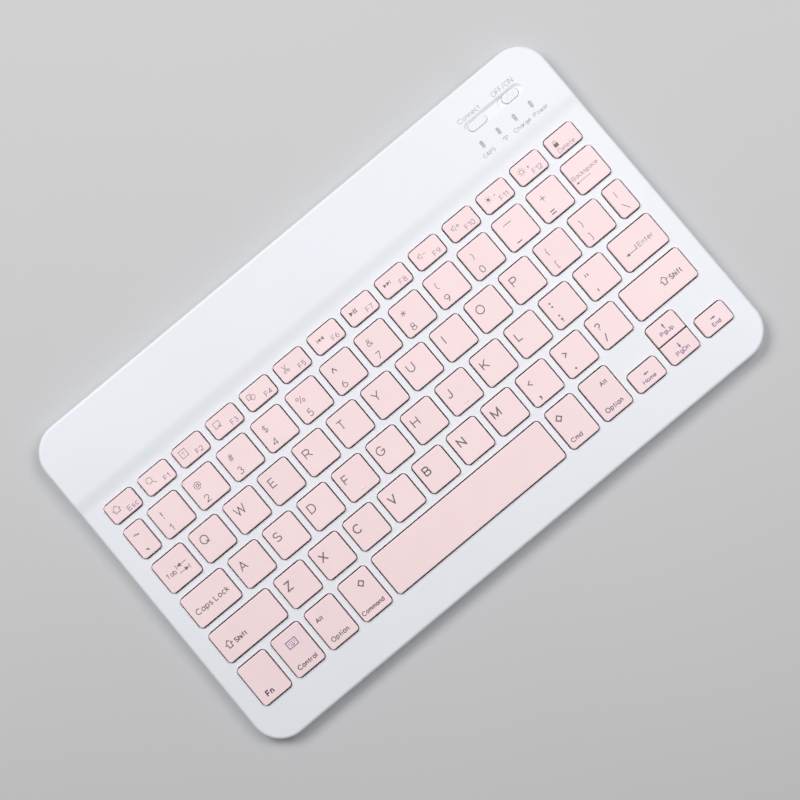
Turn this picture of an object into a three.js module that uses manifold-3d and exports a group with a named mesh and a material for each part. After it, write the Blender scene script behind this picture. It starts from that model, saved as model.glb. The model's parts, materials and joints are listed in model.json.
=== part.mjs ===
// Slim wireless tablet keyboard: two snap-together plastic shells around a key block of 78 caps on a
// silicone dome sheet, a switch membrane and a steel backing plate, with a circuit board, a battery and
// two controls under the raised rear strip.
//
// Millimetres. +X to the typist's right, +Y to the rear, +Z up. The origin is the middle of the footprint,
// on the desk.
import * as THREE from 'three';
import { mergeVertices } from 'three/addons/utils/BufferGeometryUtils.js';
import Module from 'manifold-3d';

const wasm = await Module();
wasm.setup();

// ---- Driving dimensions ---------------------------------------------------------------------------

const WIDTH = 247;
const DEPTH = 150;
const CORNER_RADIUS = 12.5;

// Heights above the desk, from the bottom up.
const CASE_BOTTOM_Z = 0.8;
const FLOOR_Z = 1.8; // inside face of the bottom cover
const SEAM_Z = 2.9; // where the two covers meet on the outside
const SHEET_TOP_Z = 2.75; // top of the flat part of the dome sheet
const DECK_Z = 5.8; // surface between the keys
const STRIP_Z = 6.6; // surface of the raised rear strip
const CAP_TOP_Z = 7.0; // key tops at rest

const SKIN = 1.2; // top cover thickness over the keys
const WALL = 1.5; // top cover side wall
const TOP_FILLET = 1.2;
const FIT = 0.1; // clearance between pieces that fit into one another
const STACK_GAP = 0.05; // clearance between flat pieces that lie on one another
const SLOT_FIT = 0.2; // clearance round a piece that moves in an opening or sits in a groove

// Heights that cutters run between.
const BELOW_Z = 0; // under everything they cut
const INSIDE_Z = 3; // inside the case, for a cutter through the top cover
const ABOVE_Z = 8; // over everything

// The ramp from the key deck up to the rear strip.
const RAMP_FRONT_Y = 40;
const RAMP_REAR_Y = 46.6;
const RAMP_STEPS = 4;

// Key block.
const BLOCK_WIDTH = 230.5; // from the first cap's left side to the last cap's right side
const CAP = 13.7; // a letter key's width and depth
const SMALL_CAP = 13.2; // width of a function, modifier or arrow key
const CAP_RADIUS = 1.3;
const CAP_GAP = 0.4; // shadow gap between a cap and its aperture
const CAP_WALL = 1.0;
const CAP_CEILING_Z = CAP_TOP_Z - 1;
const CAP_SKIRT_Z = 4.3; // lower edge of the caps at rest
const TAB_BOTTOM_Z = CAP_SKIRT_Z + 0.05; // retaining tabs and links under the deck
const TAB_TOP_Z = TAB_BOTTOM_Z + 0.2;
const TAB_REACH = 0.5; // how far a tab reaches under the deck, past the gap

const ROW_PITCH = 17;
const LETTER_ROW_Y = 2.55; // centre line of the Q row
const BOTTOM_ROW_Y = -50.4;
const BOTTOM_CAP_DEPTH = 17.6;
const HALF_CAP_DEPTH = (BOTTOM_CAP_DEPTH - CAP_GAP) / 2; // arrow keys
const ARROW_ROW_Y = BOTTOM_ROW_Y - (BOTTOM_CAP_DEPTH - HALF_CAP_DEPTH) / 2;

// Sheets under the keys.
const SHEET = { width: 236, depth: 103.6, y: -10.8, radius: 4 };
const PLATE_BOTTOM_Z = FLOOR_Z + STACK_GAP;
const PLATE_TOP_Z = PLATE_BOTTOM_Z + 0.3;
const MEMBRANE_BOTTOM_Z = PLATE_TOP_Z + STACK_GAP;
const MEMBRANE_TOP_Z = MEMBRANE_BOTTOM_Z + 0.25;
const SHEET_BOTTOM_Z = MEMBRANE_TOP_Z + STACK_GAP;
const DOME = { base: 3.4, tip: 1.8, wall: 0.6, roof: 1, top: CAP_CEILING_Z - STACK_GAP };

// Posts moulded under the deck, in the webs between the rows, that hold the stack of sheets together.
const STAKE_RADIUS = 0.8;
const STAKE_XS = [-100, -34, 34, 100];
const STAKE_YS = [LETTER_ROW_Y + ROW_PITCH / 2, LETTER_ROW_Y - 1.5 * ROW_PITCH];
const STAKES = STAKE_YS.flatMap((y) => STAKE_XS.map((x) => [x, y]));
const HOLE_FIT = 0.25; // clearance round a post in its hole

// Joint between the covers: a rim on the bottom cover inside the top cover's wall, held by snap catches.
const RIM = { thickness: 1, top: 4.2 };
const CATCH = { length: 8, bottom: 3.4, top: 3.9, fit: 0.1 };
const CATCHES = [
  ...[-80, 0, 70].flatMap((x) => [
    { x, y: -1, along: 'x' },
    { x, y: 1, along: 'x' },
  ]),
  ...[-35, 30].flatMap((y) => [
    { x: -1, y, along: 'y' },
    { x: 1, y, along: 'y' },
  ]),
];
const UNDERSIDE = { inset: 3, height: 1.6, steps: 3 }; // rounded lower edge of the bottom cover
const FOOT = { width: 180, depth: 7, top: 1.15 };
const FEET = [-58, 58];

// Controls and lamps on the rear strip.
const CONTROL_Y = 59.7;
const CONNECT = { x: 88, width: 8.4, depth: 3.8, bottom: 4.7 };
const SLIDER = { x: 104.1, width: 7.2, depth: 3.8, travel: 2, knob: 0.6, neck: 1.8, tongue: 1.2 };
const RECESS = { x: 96.35, width: 26.8, depth: 6.2, sunk: 0.45, tilt: 9 };
const LAMP_XS = [84.2, 92.15, 100.1, 108.05];
const LAMP_Y = 52.1;
const LAMP = { width: 1.3, depth: 3 };

// Electronics.
const BOARD = { x: 95.5, y: 58.5, width: 35, depth: 25, bottom: 1.9, top: 2.7 };
const CHIP_BOTTOM_Z = BOARD.top - 0.2; // soldered parts reach a little into the board
const PART_BOTTOM_Z = BOARD.top + STACK_GAP; // separate parts stand on it
const BOARD_PEG_RADIUS = 0.9;
const BOARD_PEG_TOP_Z = 3.4;
const BOARD_PEGS = [
  [80.5, 68],
  [80.5, 49],
];
const SOCKET = { x: 96, width: 7.6, rear: DEPTH / 2 - 0.6, length: 5.6, bottom: 2.3, top: 4.9 };
const SOCKET_OPENING_LENGTH = 6;
const CONNECTOR = { x: 94, y: 48.2, width: 14, depth: 3.4, top: 3.9 };
const TAIL = { bottom: 3.1, width: 12 }; // the membrane's tail, where it enters the connector
const POWER_SWITCH = { width: 8, depth: 3.4, top: 4.2 };
const BATTERY = { x: 40, y: 59, width: 42, depth: 22, bottom: 1.9, top: 4.9 };

// ---- Geometry helpers -----------------------------------------------------------------------------

// A closed three.js geometry as a manifold-3d solid.
function solid(geometry) {
  const bare = geometry.clone();
  bare.deleteAttribute('normal');
  bare.deleteAttribute('uv');
  const merged = mergeVertices(bare, 1e-4);
  return new wasm.Manifold(
    new wasm.Mesh({
      numProp: 3,
      vertProperties: merged.attributes.position.array,
      triVerts: new Uint32Array(merged.index.array),
    }),
  );
}

function geometryOf(manifold) {
  const mesh = manifold.getMesh();
  const geometry = new THREE.BufferGeometry();
  geometry.setAttribute('position', new THREE.BufferAttribute(mesh.vertProperties, 3));
  geometry.setIndex(new THREE.BufferAttribute(mesh.triVerts, 1));
  geometry.computeVertexNormals();
  return geometry;
}

const joined = (solids) => solids.reduce((sum, piece) => sum.add(piece));

// A block between two heights, centred on (x, y).
function block(x, y, width, depth, bottom, top) {
  const geometry = new THREE.BoxGeometry(width, depth, top - bottom);
  geometry.translate(x, y, (bottom + top) / 2);
  return solid(geometry);
}

function roundedRectangle(width, depth, radius) {
  const x = width / 2 - radius;
  const y = depth / 2 - radius;
  const shape = new THREE.Shape();
  shape.absarc(x, -y, radius, -Math.PI / 2, 0);
  shape.absarc(x, y, radius, 0, Math.PI / 2);
  shape.absarc(-x, y, radius, Math.PI / 2, Math.PI);
  shape.absarc(-x, -y, radius, Math.PI, 1.5 * Math.PI);
  shape.closePath();
  return shape;
}

// A flat piece with round corners between two heights, with cornerSegments facets at each corner.
function plate(x, y, width, depth, radius, bottom, top, cornerSegments = 1) {
  const geometry = new THREE.ExtrudeGeometry(roundedRectangle(width, depth, radius), {
    depth: top - bottom,
    bevelEnabled: false,
    curveSegments: cornerSegments / 2, // three.js doubles this for an arc
  });
  geometry.translate(x, y, bottom);
  return solid(geometry);
}

// A slot-shaped piece, rounded at the two ends of its longer side.
function stadium(x, y, width, depth, bottom, top) {
  const almostHalf = Math.min(width, depth) / 2 - 0.01;
  return plate(x, y, width, depth, almostHalf, bottom, top, 3);
}

function post(x, y, radius, bottom, top, sides = 6) {
  const geometry = new THREE.CylinderGeometry(radius, radius, top - bottom, sides);
  geometry.rotateX(Math.PI / 2);
  geometry.translate(x, y, (bottom + top) / 2);
  return solid(geometry);
}

// A profile in the Y-Z plane, extruded along X and centred on x.
function profileAlongX(points, x, width) {
  const shape = new THREE.Shape(points.map(([y, z]) => new THREE.Vector2(y, z)));
  const geometry = new THREE.ExtrudeGeometry(shape, { depth: width, bevelEnabled: false });
  geometry.applyMatrix4(
    new THREE.Matrix4().makeBasis(
      new THREE.Vector3(0, 1, 0),
      new THREE.Vector3(0, 0, 1),
      new THREE.Vector3(1, 0, 0),
    ),
  );
  geometry.translate(x - width / 2, 0, 0);
  return solid(geometry);
}

// ---- Case outline ---------------------------------------------------------------------------------

// Height of the case's top surface at a given y: the deck, an S-shaped ramp and the rear strip.
function surfaceZ(y) {
  const t = THREE.MathUtils.smoothstep(y, RAMP_FRONT_Y, RAMP_REAR_Y);
  return THREE.MathUtils.lerp(DECK_Z, STRIP_Z, t);
}

// The right half of the case outline, set in by inset, from the front edge round to the rear edge.
function halfOutline(inset, cornerSteps = 6) {
  const x = WIDTH / 2 - CORNER_RADIUS;
  const y = DEPTH / 2 - CORNER_RADIUS;
  const radius = CORNER_RADIUS - inset;
  const arc = (cy, from) =>
    Array.from({ length: cornerSteps + 1 }, (_, i) => {
      const a = from + ((Math.PI / 2) * i) / cornerSteps;
      return [x + radius * Math.cos(a), cy + radius * Math.sin(a)];
    });
  const ramp = Array.from({ length: RAMP_STEPS + 1 }, (_, i) => [
    x + radius,
    THREE.MathUtils.lerp(RAMP_FRONT_Y, RAMP_REAR_Y, i / RAMP_STEPS),
  ]);
  return [...arc(-y, -Math.PI / 2), ...ramp, ...arc(y, 0)];
}

// A solid skinned over rings that follow the case outline, from the lowest ring to the highest.
// Each ring is { inset, z }, where z is a height or a function of y.
function outlineLoft(rings) {
  const positions = [];
  const half = halfOutline(0).length;
  for (const { inset, z } of rings) {
    const height = typeof z === 'function' ? z : () => z;
    const right = halfOutline(inset);
    const left = right.map(([x, y]) => [-x, y]).reverse();
    for (const [x, y] of [...right, ...left]) positions.push(x, y, height(y));
  }
  const around = 2 * half;
  const at = (ring, i) => ring * around + (i % around);
  const index = [];
  for (let ring = 0; ring + 1 < rings.length; ring += 1) {
    for (let i = 0; i < around; i += 1) {
      index.push(at(ring, i), at(ring, i + 1), at(ring + 1, i + 1));
      index.push(at(ring, i), at(ring + 1, i + 1), at(ring + 1, i));
    }
  }
  // The ends are strips between each point on the right and its mirror image on the left.
  const last = rings.length - 1;
  for (let i = 0; i + 1 < half; i += 1) {
    const mirror = around - 1 - i;
    index.push(at(last, i), at(last, i + 1), at(last, mirror - 1));
    index.push(at(last, i), at(last, mirror - 1), at(last, mirror));
    index.push(at(0, i), at(0, mirror - 1), at(0, i + 1));
    index.push(at(0, i), at(0, mirror), at(0, mirror - 1));
  }
  const geometry = new THREE.BufferGeometry();
  geometry.setAttribute('position', new THREE.Float32BufferAttribute(positions, 3));
  geometry.setIndex(index);
  return solid(geometry);
}

// Rings for a quarter-round edge of the given radii, from vertical to flat.
function roundedEdge(radius, topZ, steps) {
  return Array.from({ length: steps + 1 }, (_, i) => {
    const a = ((Math.PI / 2) * i) / steps;
    return {
      inset: radius * (1 - Math.cos(a)),
      z: (y) => topZ(y) - radius * (1 - Math.sin(a)),
    };
  });
}

// ---- Key layout -----------------------------------------------------------------------------------

const single = (names, width = CAP) => names.map((name) => ({ node: `key_${name}`, width }));
const grouped = (node, count, width = CAP) => Array.from({ length: count }, () => ({ node, width }));

// Rows from the rear to the front, each with its caps from left to right. A row's caps share out the block
// width evenly. Caps that share a node are linked under the deck and press together.
const ROWS = [
  { y: 33.9, depth: 8.4, caps: grouped('function_row_keys', 14, SMALL_CAP) },
  {
    y: LETTER_ROW_Y + ROW_PITCH,
    depth: CAP,
    caps: [
      ...grouped('number_row_keys', 1, 8.5),
      ...grouped('number_row_keys', 12),
      ...single(['backspace'], 14.6),
    ],
  },
  {
    y: LETTER_ROW_Y,
    depth: CAP,
    caps: [
      ...single(['tab'], 14.7),
      ...single([...'qwertyuiop']),
      ...grouped('punctuation_keys', 2),
      ...grouped('punctuation_keys', 1, 8.4),
    ],
  },
  {
    y: LETTER_ROW_Y - ROW_PITCH,
    depth: CAP,
    caps: [
      ...single(['caps_lock'], 20.15),
      ...single([...'asdfghjkl']),
      ...grouped('punctuation_keys', 2),
      ...single(['enter'], 19.95),
    ],
  },
  {
    y: LETTER_ROW_Y - 2 * ROW_PITCH,
    depth: CAP,
    caps: [
      ...single(['left_shift'], 28.65),
      ...single([...'zxcvbnm']),
      ...grouped('punctuation_keys', 3),
      ...single(['right_shift'], 28.45),
    ],
  },
  {
    y: BOTTOM_ROW_Y,
    depth: BOTTOM_CAP_DEPTH,
    caps: [
      ...grouped('left_modifier_keys', 4, SMALL_CAP),
      ...single(['space'], 82.1),
      ...grouped('right_modifier_keys', 2, SMALL_CAP),
      { node: 'key_arrow_left', width: SMALL_CAP, depth: HALF_CAP_DEPTH, y: ARROW_ROW_Y },
      { node: 'key_arrow_up', width: SMALL_CAP, stackedOn: 'key_arrow_down' },
      { node: 'key_arrow_right', width: SMALL_CAP, depth: HALF_CAP_DEPTH, y: ARROW_ROW_Y },
    ],
  },
];

// Every cap as { node, x, y, width, depth }, and every opening in the deck as { x, y, width, depth }.
function layOut(rows) {
  const caps = [];
  const apertures = [];
  for (const row of rows) {
    const used = row.caps.reduce((sum, cap) => sum + cap.width, 0);
    const spacing = (BLOCK_WIDTH - used) / (row.caps.length - 1);
    let left = -BLOCK_WIDTH / 2;
    for (const { node, width, depth = row.depth, y = row.y, stackedOn } of row.caps) {
      const x = left + width / 2;
      left += width + spacing;
      apertures.push({ x, y, width, depth });
      if (!stackedOn) {
        caps.push({ node, x, y, width, depth });
        continue;
      }
      // Two half-depth caps that share one opening.
      const offset = (depth - HALF_CAP_DEPTH) / 2;
      caps.push({ node, x, y: y + offset, width, depth: HALF_CAP_DEPTH });
      caps.push({ node: stackedOn, x, y: y - offset, width, depth: HALF_CAP_DEPTH });
    }
  }
  return { caps, apertures };
}

const { caps, apertures } = layOut(ROWS);
const space = caps.find((cap) => cap.node === 'key_space');

// ---- Space bar's balance wire ---------------------------------------------------------------------

// A long bar that turns in two hooks on the backing plate, with an arm at each end that lifts the cap.
const WIRE = { radius: 0.4, halfLength: 30, arm: 6, foot: 1.6, pivotY: space.y + 5.5, pivotZ: 3.25 };
const WIRE_LIFT = 1.95; // height of the arms' ends over the pivot at rest
const WIRE_ANGLE = Math.asin(WIRE_LIFT / WIRE.arm);
const WIRE_END_Y = WIRE.pivotY - WIRE.arm * Math.cos(WIRE_ANGLE);
const WIRE_END_Z = WIRE.pivotZ + WIRE_LIFT;
const WIRE_SLOT = 0.5; // half height of the slots that the wire runs in
const HOOK_XS = [-24, 24].map((offset) => space.x + offset);
const HOOK = { width: 1.6, depth: 2.4, top: 4.1 };

// ---- Covers ---------------------------------------------------------------------------------------

// Blocks along the case's inside wall, at the snap catches. outer and inner are distances from the outline.
function catchBlocks(outer, inner, length, bottom, top) {
  const middle = (outer + inner) / 2;
  const thick = inner - outer;
  return joined(
    CATCHES.map(({ x, y, along }) =>
      along === 'x'
        ? block(x, y * (DEPTH / 2 - middle), length, thick, bottom, top)
        : block(x * (WIDTH / 2 - middle), y, thick, length, bottom, top),
    ),
  );
}

function keyApertures() {
  return joined(
    apertures.map(({ x, y, width, depth }) =>
      plate(
        x,
        y,
        width + 2 * CAP_GAP,
        depth + 2 * CAP_GAP,
        CAP_RADIUS + CAP_GAP,
        DECK_Z - SKIN - 1,
        DECK_Z + 1,
      ),
    ),
  );
}

// The tilted hollow in the rear strip that the two controls sit in: deep at the rear, running out in front.
function controlRecess() {
  const geometry = new THREE.ExtrudeGeometry(
    roundedRectangle(RECESS.width, RECESS.depth, RECESS.depth / 2 - 0.01),
    { depth: 3, bevelEnabled: false, curveSegments: 2 },
  );
  geometry.rotateX(THREE.MathUtils.degToRad(-RECESS.tilt));
  geometry.translate(RECESS.x, CONTROL_Y, STRIP_Z - RECESS.sunk);
  return solid(geometry);
}

function socketOpening(bottom, top) {
  return block(SOCKET.x, DEPTH / 2, SOCKET.width + 2 * SLOT_FIT, SOCKET_OPENING_LENGTH, bottom, top);
}

function topCover() {
  const outer = outlineLoft([
    { inset: 0, z: SEAM_Z + FIT },
    ...roundedEdge(TOP_FILLET, surfaceZ, 3),
  ]);
  const recessFloor = stadium(RECESS.x, CONTROL_Y, 30, 9, STRIP_Z - 1.6, STRIP_Z - 1);
  const cavity = outlineLoft([
    { inset: WALL, z: SEAM_Z - 1 },
    { inset: WALL, z: (y) => surfaceZ(y) - SKIN },
  ]).subtract(recessFloor);
  const round = 2 * SLOT_FIT;
  const sliderMiddle = SLIDER.x - SLIDER.travel / 2;
  const sliderRun = SLIDER.width + SLIDER.travel + round;
  const neckRun = SLIDER.neck + SLIDER.travel + round;
  const catchTop = CATCH.top + CATCH.fit;
  const catchBottom = CATCH.bottom - CATCH.fit;
  const cuts = [
    cavity,
    keyApertures(),
    controlRecess(),
    stadium(CONNECT.x, CONTROL_Y, CONNECT.width + round, CONNECT.depth + round, INSIDE_Z, ABOVE_Z),
    stadium(sliderMiddle, CONTROL_Y, sliderRun, SLIDER.depth + round, STRIP_Z - SLIDER.knob - FIT, ABOVE_Z),
    block(sliderMiddle, CONTROL_Y, neckRun, SLIDER.neck, INSIDE_Z, ABOVE_Z),
    ...LAMP_XS.map((x) => stadium(x, LAMP_Y, LAMP.width, LAMP.depth, INSIDE_Z, ABOVE_Z)),
    socketOpening(SOCKET.bottom - SLOT_FIT, SOCKET.top + SLOT_FIT),
    catchBlocks(WALL - 0.5, WALL + 0.5, CATCH.length + round, catchBottom, catchTop),
  ];
  const stakes = STAKES.map(([x, y]) =>
    post(x, y, STAKE_RADIUS, PLATE_BOTTOM_Z + FIT, DECK_Z - SKIN + 0.2),
  );
  return joined([outer.subtract(joined(cuts)), ...stakes]);
}

function bottomCover() {
  const underside = Array.from({ length: UNDERSIDE.steps + 1 }, (_, i) => {
    const a = ((Math.PI / 2) * i) / UNDERSIDE.steps;
    return {
      inset: UNDERSIDE.inset * (1 - Math.sin(a)),
      z: CASE_BOTTOM_Z + UNDERSIDE.height * (1 - Math.cos(a)),
    };
  });
  const outer = outlineLoft([...underside, { inset: 0, z: SEAM_Z }]);
  const rimInset = WALL + FIT;
  const rim = outlineLoft([
    { inset: rimInset, z: FLOOR_Z },
    { inset: rimInset, z: RIM.top },
  ]);
  const inside = outlineLoft([
    { inset: rimInset + RIM.thickness, z: FLOOR_Z },
    { inset: rimInset + RIM.thickness, z: ABOVE_Z },
  ]);
  const tray = outer
    .add(rim)
    .subtract(inside)
    .add(catchBlocks(WALL - 0.3, WALL + 0.6, CATCH.length, CATCH.bottom, CATCH.top))
    .subtract(socketOpening(SOCKET.bottom - SLOT_FIT, ABOVE_Z));
  const grooves = FEET.map((y) =>
    stadium(0, y, FOOT.width + 2 * SLOT_FIT, FOOT.depth + 2 * SLOT_FIT, BELOW_Z, FOOT.top + STACK_GAP),
  );
  const pegs = BOARD_PEGS.map(([x, y]) => post(x, y, BOARD_PEG_RADIUS, FLOOR_Z - 0.2, BOARD_PEG_TOP_Z));
  return joined([tray.subtract(joined(grooves)), ...pegs]);
}

const foot = (y) => stadium(0, y, FOOT.width, FOOT.depth, 0, FOOT.top);

// ---- Sheets under the keys ------------------------------------------------------------------------

const stakeHoles = () =>
  joined(STAKES.map(([x, y]) => post(x, y, STAKE_RADIUS + HOLE_FIT, BELOW_Z, ABOVE_Z)));

const hookSlots = () =>
  joined(
    HOOK_XS.map((x) => block(x, WIRE.pivotY, HOOK.width + 0.6, HOOK.depth + 0.6, BELOW_Z, ABOVE_Z)),
  );

const sheet = (bottom, top) =>
  plate(0, SHEET.y, SHEET.width, SHEET.depth, SHEET.radius, bottom, top, 2).subtract(stakeHoles());

function backingPlate() {
  const hooks = HOOK_XS.map((x) =>
    block(x, WIRE.pivotY, HOOK.width, HOOK.depth, PLATE_BOTTOM_Z, HOOK.top).subtract(
      block(x, WIRE.pivotY, 3, 1, WIRE.pivotZ - WIRE_SLOT, WIRE.pivotZ + WIRE_SLOT),
    ),
  );
  return joined([sheet(PLATE_BOTTOM_Z, PLATE_TOP_Z), ...hooks]);
}

// The printed switch sheets, with the tail that rises to the connector on the board.
function switchMembrane() {
  const rear = SHEET.y + SHEET.depth / 2;
  const thick = MEMBRANE_TOP_Z - MEMBRANE_BOTTOM_Z;
  const centreLine = [
    [rear - 1, MEMBRANE_BOTTOM_Z],
    [rear + 1.5, MEMBRANE_BOTTOM_Z],
    [rear + 4, TAIL.bottom],
    [CONNECTOR.y, TAIL.bottom],
  ];
  const upper = centreLine.map(([y, z]) => [y, z + thick]).reverse();
  const tail = profileAlongX([...centreLine, ...upper], CONNECTOR.x, TAIL.width);
  return sheet(MEMBRANE_BOTTOM_Z, MEMBRANE_TOP_Z).add(tail).subtract(hookSlots());
}

// One rubber dome under each cap, moulded in a single sheet and hollow underneath.
function domeSheet() {
  const cone = (base, tip, bottom, top, sides) => ({ x, y }) => {
    const geometry = new THREE.CylinderGeometry(tip, base, top - bottom, sides);
    geometry.rotateX(Math.PI / 2);
    geometry.translate(x, y, (bottom + top) / 2);
    return solid(geometry);
  };
  const domes = caps.map(cone(DOME.base, DOME.tip, SHEET_BOTTOM_Z, DOME.top, 6));
  const innerBase = DOME.base - DOME.wall;
  const innerTip = DOME.tip - DOME.wall;
  const hollows = caps.map(cone(innerBase, innerTip, SHEET_BOTTOM_Z - 0.1, DOME.top - DOME.roof, 4));
  return sheet(SHEET_BOTTOM_Z, SHEET_TOP_Z).add(joined(domes)).subtract(joined(hollows)).subtract(hookSlots());
}

// ---- Keycaps --------------------------------------------------------------------------------------

// A hollow cap that rests on its dome.
function keycap({ x, y, width, depth }) {
  const shell = plate(x, y, width, depth, CAP_RADIUS, CAP_SKIRT_Z, CAP_TOP_Z);
  const hollow = block(x, y, width - 2 * CAP_WALL, depth - 2 * CAP_WALL, BELOW_Z, CAP_CEILING_Z);
  return shell.subtract(hollow);
}

// The tab on each side of a cap that catches under the deck.
function retainingTabs({ x, y, width }) {
  const root = CAP_WALL / 2;
  const length = root + CAP_GAP + TAB_REACH;
  const centre = width / 2 - root + length / 2;
  return joined(
    [-1, 1].map((side) => block(x + side * centre, y, length, 2.4, TAB_BOTTOM_Z, TAB_TOP_Z)),
  );
}

// The strip under the deck that joins two neighbouring caps of one node, or null if they aren't neighbours.
function link(a, b) {
  const reach = 3.8; // a little more than the widest space between two caps
  const overlap = (axis, size) => {
    const low = Math.max(a[axis] - a[size] / 2, b[axis] - b[size] / 2);
    const high = Math.min(a[axis] + a[size] / 2, b[axis] + b[size] / 2);
    return { low, high, length: high - low, middle: (low + high) / 2 };
  };
  const across = overlap('x', 'width');
  const along = overlap('y', 'depth');
  if (along.length > 3 && across.length < 0 && across.length > -reach) {
    return block(across.middle, along.middle, CAP_WALL - across.length, 3, TAB_BOTTOM_Z, TAB_TOP_Z);
  }
  if (across.length > 3 && along.length < 0 && along.length > -reach) {
    return block(across.middle, along.middle, 3, CAP_WALL - along.length, TAB_BOTTOM_Z, TAB_TOP_Z);
  }
  return null;
}

function keysOf(node) {
  const members = caps.filter((cap) => cap.node === node);
  const links = members.flatMap((a, i) => members.slice(i + 1).map((b) => link(a, b)));
  const catches = members.length === 1 ? [retainingTabs(members[0])] : links;
  return joined([...members.map(keycap), ...catches.filter((strip) => strip !== null)]);
}

// The space bar, with a slotted lug for each foot of the balance wire.
function spaceBar() {
  const lugs = [-1, 1].map((side) => {
    const x = space.x + side * (WIRE.halfLength + 1.2);
    return block(x, WIRE_END_Y, 1, 3.4, WIRE_END_Z - 0.9, CAP_TOP_Z - 0.5).subtract(
      block(x, WIRE_END_Y, 3, 1.8, WIRE_END_Z - WIRE_SLOT, WIRE_END_Z + WIRE_SLOT),
    );
  });
  return joined([keysOf('key_space'), ...lugs]);
}

// A straight length of round wire between two points.
function wireBetween(from, to) {
  const path = new THREE.LineCurve3(from, to);
  const section = new THREE.Shape().absarc(0, 0, WIRE.radius, 0, 2 * Math.PI);
  const geometry = new THREE.ExtrudeGeometry(section, { steps: 1, curveSegments: 3, extrudePath: path });
  return solid(geometry);
}

function balanceWire() {
  const pivot = (side) => new THREE.Vector3(space.x + side * WIRE.halfLength, WIRE.pivotY, WIRE.pivotZ);
  const end = (side, extra) =>
    new THREE.Vector3(space.x + side * (WIRE.halfLength + extra), WIRE_END_Y, WIRE_END_Z);
  const knuckle = (point) => {
    const geometry = new THREE.IcosahedronGeometry(WIRE.radius * 1.1, 0);
    geometry.translate(point.x, point.y, point.z);
    return solid(geometry);
  };
  const arms = [-1, 1].flatMap((side) => [
    wireBetween(pivot(side), end(side, 0)),
    wireBetween(end(side, 0), end(side, WIRE.foot)),
    knuckle(pivot(side)),
    knuckle(end(side, 0)),
  ]);
  return joined([wireBetween(pivot(-1), pivot(1)), ...arms]);
}

// ---- Electronics and controls ---------------------------------------------------------------------

function circuitBoard() {
  const board = plate(BOARD.x, BOARD.y, BOARD.width, BOARD.depth, 1, BOARD.bottom, BOARD.top);
  const holes = BOARD_PEGS.map(([x, y]) => post(x, y, BOARD_PEG_RADIUS + HOLE_FIT, BELOW_Z, ABOVE_Z));
  const notchWidth = SOCKET.width + 2 * SLOT_FIT;
  const socketNotch = block(SOCKET.x, BOARD.y + BOARD.depth / 2, notchWidth, 6, BELOW_Z, ABOVE_Z);
  const radioChip = block(84.8, 65.4, 5, 5, CHIP_BOTTOM_Z, BOARD.top + 0.9);
  const crystal = block(90.5, 66, 3.2, 2.5, CHIP_BOTTOM_Z, BOARD.top + 0.7);
  const lamps = LAMP_XS.map((x) => block(x, LAMP_Y, 0.8, 1.6, CHIP_BOTTOM_Z, BOARD.top + 0.5));
  return joined([board.subtract(joined([...holes, socketNotch])), radioChip, crystal, ...lamps]);
}

function membraneConnector() {
  const { x, y, width, depth, top } = CONNECTOR;
  const body = block(x, y, width, depth, PART_BOTTOM_Z, top);
  const mouth = block(x, y - 1.3, TAIL.width + 0.6, depth, TAIL.bottom - 0.15, TAIL.bottom + 0.4);
  return body.subtract(mouth);
}

function chargingSocket() {
  const y = SOCKET.rear - SOCKET.length / 2;
  const middle = (SOCKET.bottom + SOCKET.top) / 2;
  const shell = block(SOCKET.x, y, SOCKET.width, SOCKET.length, SOCKET.bottom, SOCKET.top);
  const mouth = block(SOCKET.x, y + 0.8, SOCKET.width - 0.7, SOCKET.length, middle - 0.95, middle + 0.95);
  const tongue = block(SOCKET.x, y - 0.4, 3.8, SOCKET.length - 1, middle - 0.3, middle + 0.3);
  return shell.subtract(mouth).add(tongue);
}

function powerSwitch() {
  const x = SLIDER.x - SLIDER.travel / 2;
  const tongueRun = SLIDER.tongue + SLIDER.travel + 2 * SLOT_FIT;
  const housing = block(x, CONTROL_Y, POWER_SWITCH.width, POWER_SWITCH.depth, PART_BOTTOM_Z, POWER_SWITCH.top);
  return housing.subtract(block(x, CONTROL_Y, tongueRun, 1.4, 3.3, ABOVE_Z));
}

function powerSlider() {
  const { x, width, depth, knob, neck, tongue } = SLIDER;
  return joined([
    stadium(x, CONTROL_Y, width, depth, STRIP_Z - knob, STRIP_Z),
    block(x, CONTROL_Y, neck, 1.4, 4.7, STRIP_Z - 0.4),
    block(x, CONTROL_Y, 4.4, 3, 4.4, 4.9), // keeper under the cover
    block(x, CONTROL_Y, tongue, 1, 3.5, 4.6),
  ]);
}

function connectSwitch() {
  const body = block(CONNECT.x, CONTROL_Y, 4.5, 4.5, PART_BOTTOM_Z, 3.7);
  return body.add(post(CONNECT.x, CONTROL_Y, 1.1, 3.6, 4.2));
}

function connectButton() {
  const { x, width, depth, bottom } = CONNECT;
  const flange = block(x, CONTROL_Y, width + 1, depth - 1, bottom - 0.05, bottom + 0.25);
  return stadium(x, CONTROL_Y, width, depth, bottom, STRIP_Z).add(flange);
}

function lightGuide() {
  const underside = STRIP_Z - SKIN - STACK_GAP;
  const bar = block((LAMP_XS[0] + LAMP_XS[3]) / 2, LAMP_Y, 28, 4.6, underside - 0.8, underside);
  const windows = LAMP_XS.map((x) =>
    stadium(x, LAMP_Y, LAMP.width - 0.2, LAMP.depth - 0.2, underside - 0.2, STRIP_Z - 0.3),
  );
  return joined([bar, ...windows]);
}

function battery() {
  return plate(BATTERY.x, BATTERY.y, BATTERY.width, BATTERY.depth, 1.2, BATTERY.bottom, BATTERY.top, 2);
}

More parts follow.
